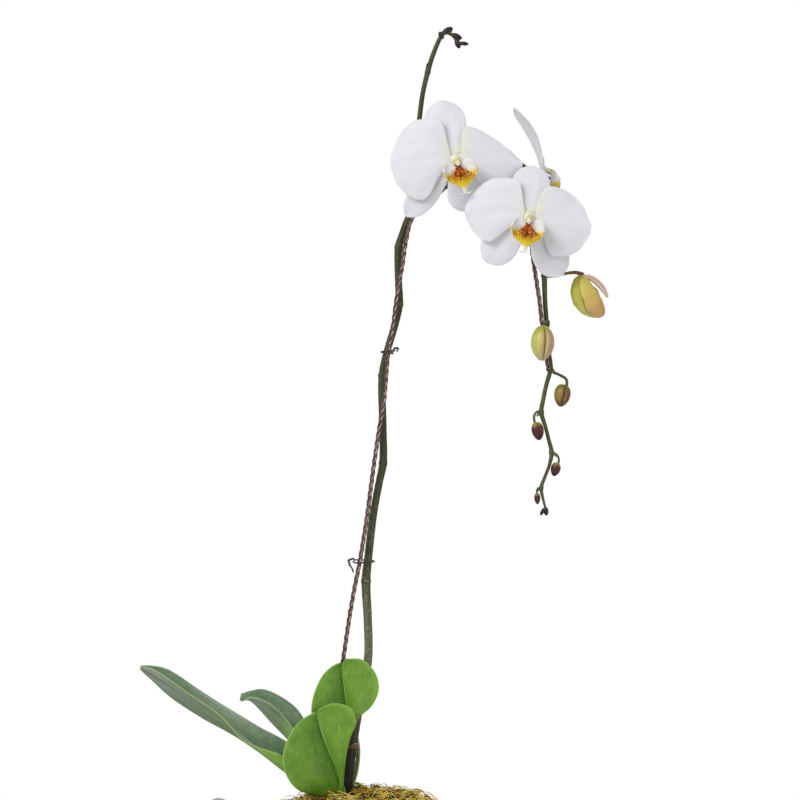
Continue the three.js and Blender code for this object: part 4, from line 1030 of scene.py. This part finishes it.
def helixRound(line, radius, lay, phase):
    # a strand wound round a line
    tangent = np.gradient(line[:, :3], axis=0)
    tangent /= np.linalg.norm(tangent, axis=1, keepdims=True)
    run = np.append(0, np.cumsum(np.linalg.norm(np.diff(line[:, :3], axis=0), axis=1)))
    side = np.array([0.31, 1, 0.17])
    rows = []
    for i, t in enumerate(tangent):
        side = side - t * side.dot(t)
        side /= np.linalg.norm(side)
        angle = run[i] / lay * 2 * pi + phase
        rows.append(line[i, :3] + radius * (side * cos(angle) + np.cross(t, side) * sin(angle)))
    return np.array(rows)


def buildStake():
    line = resample(smoothLine(stake["route"], 8), 1000)
    shape = Shape()
    for phase in np.arange(stake["strands"]) * 2 * pi / stake["strands"]:
        strand = helixRound(line, stake["strand"] * 1.1, stake["lay"], phase)
        shape.join(tubeShape(np.column_stack([strand, np.full(len(strand), stake["strand"])]),
                             stake["sides"]))
    makePiece("twisted_stake", seat(shape, "support_wire"), [wireCoat], ["support_wire"])


ties = {
    "tie_lower": {"centre": [1.6, 5.2, 335.5], "across": 8.4, "deep": 8.6, "turn": pi * 1.1, "tail": [
        [-8.6, 1.5, 339], [-11.4, 0, 337], [-10.2, -1, 333.5], [-8.4, -1, 330.5], [-7.6, -0.5, 328]]},
    "tie_upper": {"centre": [20.6, 5.8, 507], "across": 5, "deep": 7.8, "turn": pi * 1.85, "tail": [
        [26.6, 0.5, 510.4], [28.8, -0.5, 512], [30, -0.8, 510.5], [28.6, -1, 508.6]]},
}


def buildTie(node, facts):
    points = []
    for i in range(25):
        angle = facts["turn"] + i / 24 * 2 * pi * 0.97
        x, y, z = facts["centre"]
        points.append([x + facts["across"] * cos(angle), y + facts["deep"] * sin(angle), z + i / 24 * 2.4,
                       0.7])
    points += [[*p, 0.7] for p in facts["tail"]]
    shape = tubeShape(smoothLine(points, 6), 10)
    # the other end is wrapped round the tail
    tail = smoothLine([[*p, 0.5] for p in [points[0][:3]] + facts["tail"][:3]], 16)
    wrap = helixRound(tail, 0.95, 4.0, 0.0)
    shape.join(tubeShape(np.column_stack([wrap, np.full(len(wrap), 0.5)]), 8))
    makePiece(node + "_wire", seat(shape, node), [tieCoat], [node])


def buildRoot():
    line = smoothLine([[*p, 3.0] for p in (
        [-27, -12, 133.4], [-38, -17, 134.5], [-56, -22, 137], [-74, -25, 137.5], [-90, -27, 135.5],
        [-104, -28, 138.5], [-116, -29, 143.5], [-127, -30, 138], [-134, -30, 122], [-135, -29, 104],
        [-133, -28, 90])], 10)
    share = np.linspace(0, 1, len(line))
    line[:, 3] *= 1 - 0.55 * np.clip((share - 0.9) / 0.1, 0, 1) ** 2
    shape = tubeShape(line, 20, section=lambda a,
                      run: 1 + 0.03 * np.sin(run * 0.55) + 0.02 * np.sin(2 * a + run * 0.2))
    makePiece("silver_root", seat(shape, "aerial_root"), [rootSkin], ["aerial_root"])


darkBud = budMaterial("young_bud_skin", "3f3a26", "35222a", "51383c", "2a1a1e", "2c1a20", "1a1114")
buildSpike()
buildBranch()
buildStake()
for tieNode, tieFacts in ties.items():
    buildTie(tieNode, tieFacts)
buildRoot()
print("stems, stake, ties and root ready")


# leaves: margin, midrib and margin lines in millimetres

leaves = {
    "leaf_1": {"bulge": 1.5, "groove": 0.0, "faces": 1, "near": [
        [-24, -13, 149], [-41, -21, 163], [-65, -31, 181], [-93, -37, 193], [-113, -39, 213],
        [-137, -36, 230],
        [-161, -27, 246], [-173, -20, 251], [-179.5, -14, 251]], "rib": [
        [-24, -9, 144], [-39, -12, 150.5], [-60, -16, 164.5], [-84.5, -18, 183.5], [-104.5, -19, 197],
        [-130, -18, 211], [-156, -16, 228], [-170, -14, 240.5], [-180.5, -12.5, 249.5]], "far": [
        [-24, -6, 152], [-36, -4, 169.5], [-62, -2, 189.5], [-85, 2, 200.5], [-108, 4, 215],
        [-134, 3, 231.5],
        [-160, -3, 248.5], [-172, -8.5, 251.8], [-180, -11, 251.8]]},
    "leaf_2": {"bulge": 1.5, "groove": 0.0, "faces": 1, "near": [
        [-28, 7, 150], [-39.5, 8, 166.5], [-49.5, 12, 187], [-61.5, 18, 204], [-76, 24, 216.5],
        [-87, 31, 221.5],
        [-94, 38, 221], [-101, 41.5, 217.5]], "rib": [
        [-27, 9.5, 146.5], [-36.5, 15, 159], [-50, 23, 174.5], [-62.5, 30, 188.5], [-75.5, 36, 201],
        [-86, 40, 212],
        [-94, 43, 218.5], [-102.5, 44, 219]], "far": [
        [-25, 13, 151], [-31.5, 21, 169.5], [-45, 34, 197], [-57, 44, 213], [-70, 50, 222],
        [-84, 52, 226.5],
        [-93.5, 50, 225.5], [-101.5, 46.5, 223.5]]},
    "leaf_3": {"bulge": 3.0, "groove": 0.8, "faces": 0, "near": [
        [-18.5, -11.5, 146], [-22.5, -12, 163], [-31.5, -14, 185.5], [-40, -16, 207], [-41, -17, 219],
        [-38.5, -16, 231], [-32.5, -13, 243.5], [-25, -11, 251], [-18.5, -9, 254]], "rib": [
        [-16.5, -10.6, 145], [-17, -9.5, 160], [-15.5, -8.5, 181.5], [-14, -6.5, 202.5], [-13, -5, 219],
        [-14, -4.5, 229.5], [-15.5, -4.5, 240], [-16.5, -5, 247.5], [-16.5, -6.5, 253.5]], "far": [
        [-14, -11.5, 146], [-14.5, -12, 163], [-11.5, -13, 185], [-3, -15, 208.5], [8.5, -17, 220],
        [14, -16, 233],
        [11, -13, 246.5], [0, -11, 257], [-13, -9, 257.5]]},
    "leaf_4": {"bulge": 3.0, "groove": 0.8, "faces": 0, "near": [
        [-22, -15, 146], [-39, -20, 148], [-53, -27, 154], [-61.5, -32, 167], [-63.5, -34, 180],
        [-60, -34, 194],
        [-50.5, -32, 208], [-43.5, -29, 213], [-37.5, -27, 215.5]], "rib": [
        [-18.5, -13, 144], [-17.5, -14, 152.5], [-18, -15, 161.5], [-22.5, -17, 175], [-27.5, -19, 187.5],
        [-32, -21, 199], [-34.5, -23, 207.5], [-36, -24, 212.5], [-36.3, -25, 216]], "far": [
        [-15, -15, 146], [-14, -18, 156.5], [-13.5, -21, 168], [-11.5, -25, 182.5], [-8, -28, 196],
        [-3.5, -29, 208],
        [-9, -28, 220], [-22.5, -27, 223], [-34.5, -26, 218]]},
    "leaf_sheath": {"bulge": 0.0, "groove": 0.0, "faces": 0, "near": [
        [-11, 14.5, 146], [-7, 15.5, 160], [-5, 16, 173], [-4.5, 15.5, 184], [-5, 15, 191]], "rib": [
        [-9.5, 13.8, 145], [-5.5, 14.8, 160], [-3.2, 15.2, 173], [-3.2, 14.8, 184], [-4.4, 14.6, 192]],
        "far": [
        [-8.5, 12.6, 146], [-4.4, 13.2, 160], [-2.4, 13.4, 173], [-2.6, 13.6, 184], [-4, 14.2, 191.5]]},
}


def buildLeaf(node, facts):
    lines = {key: smoothLine(facts[key], 12)[:, :3] for key in ("near", "rib", "far")}
    rows = len(lines["rib"])
    spread = lines["far"] - lines["near"]
    tangent = np.gradient(lines["rib"], axis=0)
    up = np.cross(spread, tangent)
    up /= np.linalg.norm(up, axis=1, keepdims=True)

    def surface(u, v):
        share = np.abs(u)[..., None]
        row = np.rint(v[:, 0] * (rows - 1)).astype(int)
        middle = lines["rib"][row][:, None, :]
        edge = np.where((u < 0)[..., None], lines["near"][row][:, None, :], lines["far"][row][:, None, :])
        swell = np.sin(pi * np.clip(v * 1.1, 0, 1))[..., None]
        lift = facts["bulge"] * np.sin(pi * share ** 0.85) * swell
        dip = facts["groove"] * np.exp(-(share / 0.04) ** 2) * swell
        wave = 0.5 * np.sin(v * 17 + u * 1.5)[..., None] * share ** 3 * swell
        return middle * (1 - share) + edge * share + up[row][:, None, :] * (lift - dip + wave)

    shape = plateShape(surface, 1.8, 40, rows - 1)
    if node == "leaf_sheath":
        coats = [sheathSkin, sheathSkin]
    else:
        coats = [leafInnerShaded if facts["faces"] else leafUpper, leafUnder]
    makePiece(node + "_blade", seat(shape, node), coats, [node])


for leafNode, leafFacts in leaves.items():
    buildLeaf(leafNode, leafFacts)
print("leaves ready")


# buds

buds = {
    "bud_2": {"stem": [[153.5, 1.5, 530.5, 1.3], [152.8, -5.5, 533.5, 1.3], [149.5, -10, 531, 1.5],
                       [148.3, -12, 526, 1.5]],
              "from": [148, -12.5, 530], "to": [147, -14, 501], "radius": 9.6, "skin": "ripe",
              "heavy": 0.95},
    "bud_3": {"stem": [[156, 2, 492, 1.2], [162.5, 1, 489.5, 1.2], [168, 0, 486, 1.3], [168.5, 0, 481, 1.3],
                       [166, 0, 476, 1.2]],
              "from": [166, 0, 482], "to": [162.5, 0, 463.5], "radius": 7, "skin": "green"},
    "bud_4": {"stem": [[147.5, 2, 459, 1.1], [143.5, 1, 459.5, 1.1], [140.8, 0, 456, 1.1],
                       [142, 0, 447, 1.1]],
              "from": [142.5, 0, 451], "to": [145.5, -0.6, 436], "radius": 5.1, "skin": "small"},
    "bud_5": {"stem": [[156.5, 2, 426.5, 1], [160.5, 1, 424, 1], [162, 0, 420, 1], [160, 0, 413, 1]],
              "from": [160.5, 0, 418], "to": [157.2, 0, 406.5], "radius": 4.2, "skin": "small"},
    "bud_6": {"stem": [[147, 2, 396.5, 0.9], [144.6, 1, 396.5, 0.9], [143.4, 0, 393.5, 0.9],
                       [144, 0, 389, 0.9]],
              "from": [143.8, 0, 393], "to": [144.2, 0, 383.5], "radius": 2.8, "skin": "small"},
}
budSkins = {
    "ripe": budMaterial("ripe_bud_skin", "a8a44c", "c9c868", "d3a88e", "c9b48a", "b59a62", "5a3c22"),
    "green": budMaterial("green_bud_skin", "77702c", "a08a36", "86593e", "5a3524", "5f4024", "2b1a14"),
    "small": budMaterial("small_bud_skin", "9a8a42", "5a2c24", "6a3c34", "331a1a", "3a1c1a", "1c0e0e"),
}
opening = {
    "stem": [[152, 3, 570.5, 1.3], [157, 2, 570.5, 1.1], [165, 0, 572.5, 1.2], [175, -2, 573.5, 1.5],
             [181, -3, 571.5, 2]],
    "body": [[181, -3, 571, 2], [179.5, -3, 567, 6.5], [179.8, -3.4, 559.9, 9.8],
             [182.7, -3.8, 553.2, 11.7],
             [187.1, -4.2, 546.4, 10.3], [191.5, -4.6, 541.7, 7], [194.6, -4.9, 538.8, 3.8],
             [196, -5, 537, 1]],
    "loose": [[181, 571.5], [187, 570.8], [193.5, 566.8], [198.5, 560.5], [201.3, 553.5]],
    # where round the body the front sepal begins and ends, in degrees from its right, foot to tip
    "front": [[0, 40, 104], [0.3, 34, 103], [0.55, 30, 108], [0.8, 20, 136], [1, 10, 165]],
}


def buildOpeningBud():
    body = resample(smoothLine(opening["body"], 14), 60)
    shape = Shape()
    shape.join(tubeShape(body, 48, slot=1))
    shape.join(tubeShape(smoothLine(opening["stem"], 10), 14, slot=0))
    span = np.array(opening["front"], float)
    side, toViewer = np.array([0.915, 0, 0.403]), np.array([0.0, -1, 0])

    def front(u, v):
        row = np.clip(v, 0, 1) * (len(body) - 1)
        index = np.floor(row).astype(int)
        after = np.minimum(index + 1, len(body) - 1)
        part = (row - index)[..., None]
        at = body[index] * (1 - part) + body[after] * part
        right, left = (radians(1) * np.interp(v, span[:, 0], span[:, k]) for k in (1, 2))
        angle = (right + left) / 2 - u * (left - right) / 2
        out = at[..., 3] + 0.55 + 0.5 * u * u
        outward = np.cos(angle)[..., None] * side + np.sin(angle)[..., None] * toViewer
        return at[..., :3] + out[..., None] * outward

    def loose(u, v):
        track = smoothLine([[x, 0, z] for x, z in opening["loose"]], 12)
        row = np.rint(v * (len(track) - 1)).astype(int)
        width = 6.5 * np.sin(pi * (0.12 + 0.8 * v)) ** 0.7
        bend = 1 - np.cos(u * 1.25)
        return np.stack([track[row][..., 0] - 0.75 * bend * width, -4 - np.sin(u * 1.25) * width,
                         track[row][..., 2] - 0.5 * bend * width], axis=-1)

    shape.join(plateShape(loose, 1.1, 20, 48, slots=(3, 3)))
    seat(shape, "bud_1")
    shape.join(plateShape(front, 0.9, 24, 44, slots=(2, 2)))
    makePiece("bud_1_skin", shape, [stalkSkin, openBody, openFront, openLoose], ["bud_1"],
              wrap=True)


stalkSkin = sepalSkinMaterial("opening_bud_stalk", "6b5a26", "7d5a34", ("6b5226", "6b5226"))
openBody = sepalSkinMaterial("opening_bud_back_sepal", "b3af16", "d3cf74", ("a89a2a", "a89a2a"))
openFront = sepalSkinMaterial("opening_bud_front_sepal", "d6d066", "d6a86a", ("7c3c22", "f6f4d6"))
openLoose = sepalSkinMaterial("opening_bud_loose_sepal", "dcab8a", "e8cbb8", ("cf8f80", "f0dccb"))


def buildBud(node, facts):
    # three closed sepals meet in sunken seams, so the section is a soft three-lobed round
    def seams(angles, run):
        lobe = np.abs(np.sin(1.5 * (angles - radians(seamTurn))))
        return 1.015 - 0.17 * (1 - lobe) ** 3

    start, end = np.array(facts["from"], float), np.array(facts["to"], float)
    rows = 40
    places = (1 - np.cos(np.linspace(0, pi, rows + 1))) / 2
    swell = np.sqrt(np.maximum(np.sin(pi * places ** facts.get("heavy", 0.8)), 0)) ** 0.9
    swell *= 1 + 0.06 * np.sin(pi * places) - 0.10 * np.clip((places - 0.7) / 0.3, 0, 1) ** 2
    line = np.column_stack([start + (end - start) * places[:, None],
                            np.maximum(swell * facts["radius"], 0.03)])
    shape = tubeShape(line, 60, section=seams, slot=1)
    shape.join(tubeShape(smoothLine(facts["stem"], 10), 14))
    skins = [stemSkin, budSkins[facts["skin"]]]
    makePiece(node + "_skin", seat(shape, node), skins, [node], wrap=True)


buildOpeningBud()
for budNode, budFacts in buds.items():
    buildBud(budNode, budFacts)
print("buds ready")


# flowers

petalReach, petalHalf, sepalReach, sepalHalf, tepalStart = 50, 29, 46, 15.5, 3.6
petalUpper = [[0, 0.1], [0.04, 0.25], [0.08, 0.52], [0.13, 0.88], [0.2, 0.97], [0.35, 1], [0.6, 0.95],
              [0.76, 0.78], [0.89, 0.53], [0.97, 0.22], [1, 0.12]]
petalFan = [[0, 0.8], [0.02, 0.93], [0.07, 0.98], [0.27, 0.9], [0.45, 0.76], [0.62, 0.6], [0.8, 0.4],
            [0.95, 0.2], [1, 0.12]]
petalRound = [[0, 0.5], [0.05, 0.85], [0.14, 0.96], [0.24, 0.99], [0.42, 0.95], [0.62, 0.82], [0.8, 0.59],
              [0.93, 0.29], [1, 0.12]]
petalLower = [[0, 0.08], [0.13, 0.18], [0.23, 0.36], [0.38, 0.62], [0.53, 0.82], [0.67, 0.78], [0.84, 0.54],
              [0.93, 0.32], [1, 0.12]]
petalBroad = [[0, 0.08], [0.12, 0.22], [0.24, 0.48], [0.34, 0.78], [0.45, 0.94], [0.6, 0.92], [0.76, 0.77],
              [0.88, 0.6], [0.95, 0.36], [1, 0.12]]
sepalSide = [[0, 0.34], [0.12, 0.5], [0.3, 0.74], [0.5, 0.96], [0.65, 1], [0.8, 0.9], [0.92, 0.63],
             [1, 0.18]]
tepals = {
    "petal_left": {"sides": (petalLower, petalUpper), "angle": 84},
    "petal_right": {"sides": (petalUpper, petalLower), "angle": -84},
    "dorsal_sepal": {"sides": (sepalSide, sepalSide), "angle": 0},
    "lateral_sepal_left": {"sides": (sepalSide, sepalSide), "angle": 142},
    "lateral_sepal_right": {"sides": (sepalSide, sepalSide), "angle": -142},
}
flowers = {
    1: {"at": [76.5, -23, 664], "yaw": 0.08, "pitch": -0.05, "roll": 0.23,
        "stem": [[62, 4, 645], [64, 9, 652], [68, 6, 660]], "shapes": {
            "petal_left": {"size": 1.06, "wide": 1.2, "swing": -7, "sides": (petalBroad, petalUpper)},
            "petal_right": {"size": 1.1, "wide": 1.04, "swing": -24, "sides": (petalFan, petalLower)},
            "dorsal_sepal": {"size": 1.12, "wide": 1.08},
            "lateral_sepal_left": {"size": 1.28, "wide": 0.75, "swing": -17},
            "lateral_sepal_right": {"size": 0.92, "swing": -32}}},
    2: {"at": [136, -35, 617], "yaw": -0.04, "pitch": 0, "roll": -0.13,
        "stem": [[141, 3, 638], [139.5, -4, 641], [138, -14, 633]], "shapes": {
            "petal_left": {"size": 1.05, "wide": 1.03, "swing": 7},
            "petal_right": {"size": 1.01, "swing": -11, "sides": (petalRound, petalBroad)},
            "dorsal_sepal": {"size": 0.92, "swing": 5},
            "lateral_sepal_left": {"size": 1.08, "swing": -1},
            "lateral_sepal_right": {"size": 1.16, "swing": -3}}},
    3: {"at": [150, 31, 660], "yaw": 1.53, "pitch": 0, "roll": 0,
        "stem": [[127, 5, 659.5], [126, 11, 664], [130, 22, 665]], "shapes": {
            "petal_left": {"fold": 0.05, "recurve": 1, "back": 0.05, "size": 0.82, "wide": 0.5,
                           "swing": 20},
            "petal_right": {"fold": 0.05, "recurve": 1, "back": 0.05, "wide": 0.5, "swing": -20},
            "dorsal_sepal": {"size": 1.1, "wide": 0.75, "recurve": 20, "back": 0.08, "twist": 0.35},
            "lateral_sepal_left": {"fold": 0.05, "recurve": 1, "back": 0.05, "wide": 0.6, "swing": 25},
            "lateral_sepal_right": {"fold": 0.05, "recurve": 1, "back": 0.05, "wide": 0.6, "swing": 0}}},
}


def turn(axis, angle):
    c, s = cos(angle), sin(angle)
    if axis == "x":
        return np.array([[1, 0, 0], [0, c, -s], [0, s, c]])
    if axis == "y":
        return np.array([[c, 0, s], [0, 1, 0], [-s, 0, c]])
    return np.array([[c, -s, 0], [s, c, 0], [0, 0, 1]])


def tepalShape(name, facts, seed):
    isPetal = name.startswith("petal")
    shape = {"size": 1, "wide": 1, "swing": 0, "twist": 0, "sides": tepals[name]["sides"],
             "fold": 0.2 if isPetal else 0.12,
             "recurve": 3 if isPetal else 4, "back": 0.02 if isPetal else 0.16, **facts}
    reach = (petalReach if isPetal else sepalReach) * shape["size"]
    half = (petalHalf if isPetal else sepalHalf) * shape["wide"]
    below, above = (smoothTable(side) for side in shape["sides"])
    rng = np.random.default_rng(seed)
    phase = rng.uniform(0, 6, 4)

    def surface(u, v):
        place = np.sin(v * pi / 2)
        width = half * np.where(u > 0, above(place), below(place))
        run = (reach - tepalStart) * place
        # the fold is a soft ridge, and the rim ripples a little
        ridge = np.sqrt(u * u + 0.012) - 0.11
        drop = ridge * width * shape["fold"] * place + shape["recurve"] * place ** 2 + shape["back"] * run
        waves = 0.7 * np.sin(place * 11 + phase[0]) + 0.4 * np.sin(place * 23 + phase[1])
        ripple = np.abs(u) ** 3 * place * waves
        dish = 1.2 * np.sin(pi * np.abs(u)) * np.sin(pi * place)
        sag = 0.5 * np.sin(place * 7 + phase[2]) * np.sin(u * 3 + phase[3]) * place
        return np.stack([u * width, tepalStart + run,
                         -drop + ripple * (1 if isPetal else 0.6) + dish * 0.6 + sag],
                        axis=-1)

    made = plateShape(surface, 0.9, 56 if isPetal else 36, 60 if isPetal else 48, slots=(0, 0))
    spin = turn("z", radians(tepals[name]["angle"] + shape["swing"])) @ turn("y", shape["twist"])
    lift = 0.6 if isPetal else -1.4
    return made.moved(lambda points: points @ spin.T + [0, 0, lift])


def lipShape():
    width = smoothTable([[0, 2.2], [0.3, 3.2], [0.45, 8], [0.6, 11], [0.74, 6.5], [0.86, 2], [1, 1.1]])
    down = smoothTable([[0, -3.6], [0.3, -11], [0.6, -20], [0.8, -24.5], [1, -30]])
    forward = smoothTable([[0, 3], [0.3, 9], [0.6, 13], [1, 9]])
    lobe = smoothTable([[0, 2.6], [0.12, 6.2], [0.25, 8.6], [0.42, 9], [0.6, 7.6], [0.85, 4.2], [1, 1.6]])

    def front(u, v):
        half = width(v)
        curl = 1.2 * np.abs(u) ** 3 * np.sin(pi * v)
        return np.stack([u * half, down(v) + u * u * v * 4, forward(v) - np.abs(u) * half * 0.15 + curl],
                        axis=-1)
    shape = plateShape(front, 1.2, 26, 48, slots=(0, 0))
    for side in (-1, 1):
        # two-humped callus with a pair of teeth, and two tendrils curling off the tip
        for bump in (oval([side * 1.2, -10, 9.5], [side * 2.4, -15.5, 12.6], 1.7),
                     oval([side * 0.9, -13, 12], [side * 3.2, -17.5, 14.4], 0.7, sides=8, rows=8)):
            bump.uvs = [[0.5, 0.4]] * len(bump.uvs)
            shape.join(bump)
        tendril = smoothLine([[side * 0.5, -28.6, 9.6, 0.6], [side * 1.6, -29.8, 10.4, 0.5],
                              [side * 3.4, -29.6, 11.4, 0.45], [side * 4.6, -29, 11.6, 0.3]], 8)
        tip = tubeShape(tendril, 7)
        tip.uvs = [[0.5, 1.0]] * len(tip.uvs)
        shape.join(tip)

        def wing(u, v, side=side):
            # the lobe stands up beside the column and cups inwards round it
            half = lobe(v)
            out = 1.2 + 12 * np.sin(v * pi / 2) - 1.2 * np.abs(u) ** 3 * v
            rise = 6.5 + 6 * v * v + 2.5 * u * u * v
            return np.stack([side * out, -10.5 + u * half, rise], axis=-1)
        shape.join(plateShape(wing, 0.9, 24, 28, slots=(1, 1)))
    return shape


def columnShape():
    # the broad foot is the receptacle that all five tepals are fixed to
    line = smoothLine([[0, 0, -3, 1.9], [0, 0, -2.2, 3.3], [0, 0, 1.2, 3.3], [0, -0.1, 2.1, 2.4],
                       [0, -0.9, 5, 2.5],
                       [0, -2.8, 8.3, 2.7], [0, -4.6, 10.2, 2.3], [0, -5.2, 10.8, 1.2]], 10)
    shape = tubeShape(line, 22)
    # rounded anther cap over the end
    cap = oval([0, -1.6, 10], [0, -6.4, 10.9], 1.7)
    cap.uvs = [[0.5, 0.2]] * len(cap.uvs)
    shape.join(cap)
    return shape


def buildFlower(number, facts):
    whole = turn("z", facts["yaw"]) @ turn("x", pi / 2 + facts["pitch"]) @ turn("z", facts["roll"])
    at = np.array(facts["at"], float)

    def place(points):
        return np.asarray(points) @ whole.T + at

    for index, name in enumerate(tepals):
        node = f"flower_{number}_{name}"
        shape = tepalShape(name, facts["shapes"].get(name, {}), number * 10 + index).moved(place)
        flesh = petalFlesh if name.startswith("petal") else sepalFlesh
        makePiece(node + "_flesh", seat(shape, node), [flesh], [node])
    node = f"flower_{number}_lip"
    makePiece(node + "_flesh", seat(lipShape().moved(place), node), [lipFlesh, wingFlesh],
              [node])
    node = f"flower_{number}_column"
    column = seat(columnShape().moved(place), node)
    # rounded collar that takes in the foot of every tepal
    collar = oval([0, 0, -3.2], [0, 0, 2.6], 5.2)
    collar.uvs = [[0.5, 0.05]] * len(collar.uvs)
    column.join(collar.moved(place))
    makePiece(node + "_flesh", column, [columnFlesh], [node])
    before, end = place([[0, 0, -10], [0, 0, -3.3]])
    points = [[*p, 1.5] for p in facts["stem"]] + [[*before, 1.7], [*end, 1.9]]
    node = f"flower_{number}_pedicel"
    stalk = tubeShape(smoothLine(points, 10), 14)
    makePiece(node + "_skin", seat(stalk, node), [stemSkin], [node])


for flowerNumber, flowerFacts in flowers.items():
    buildFlower(flowerNumber, flowerFacts)
print("flowers ready")
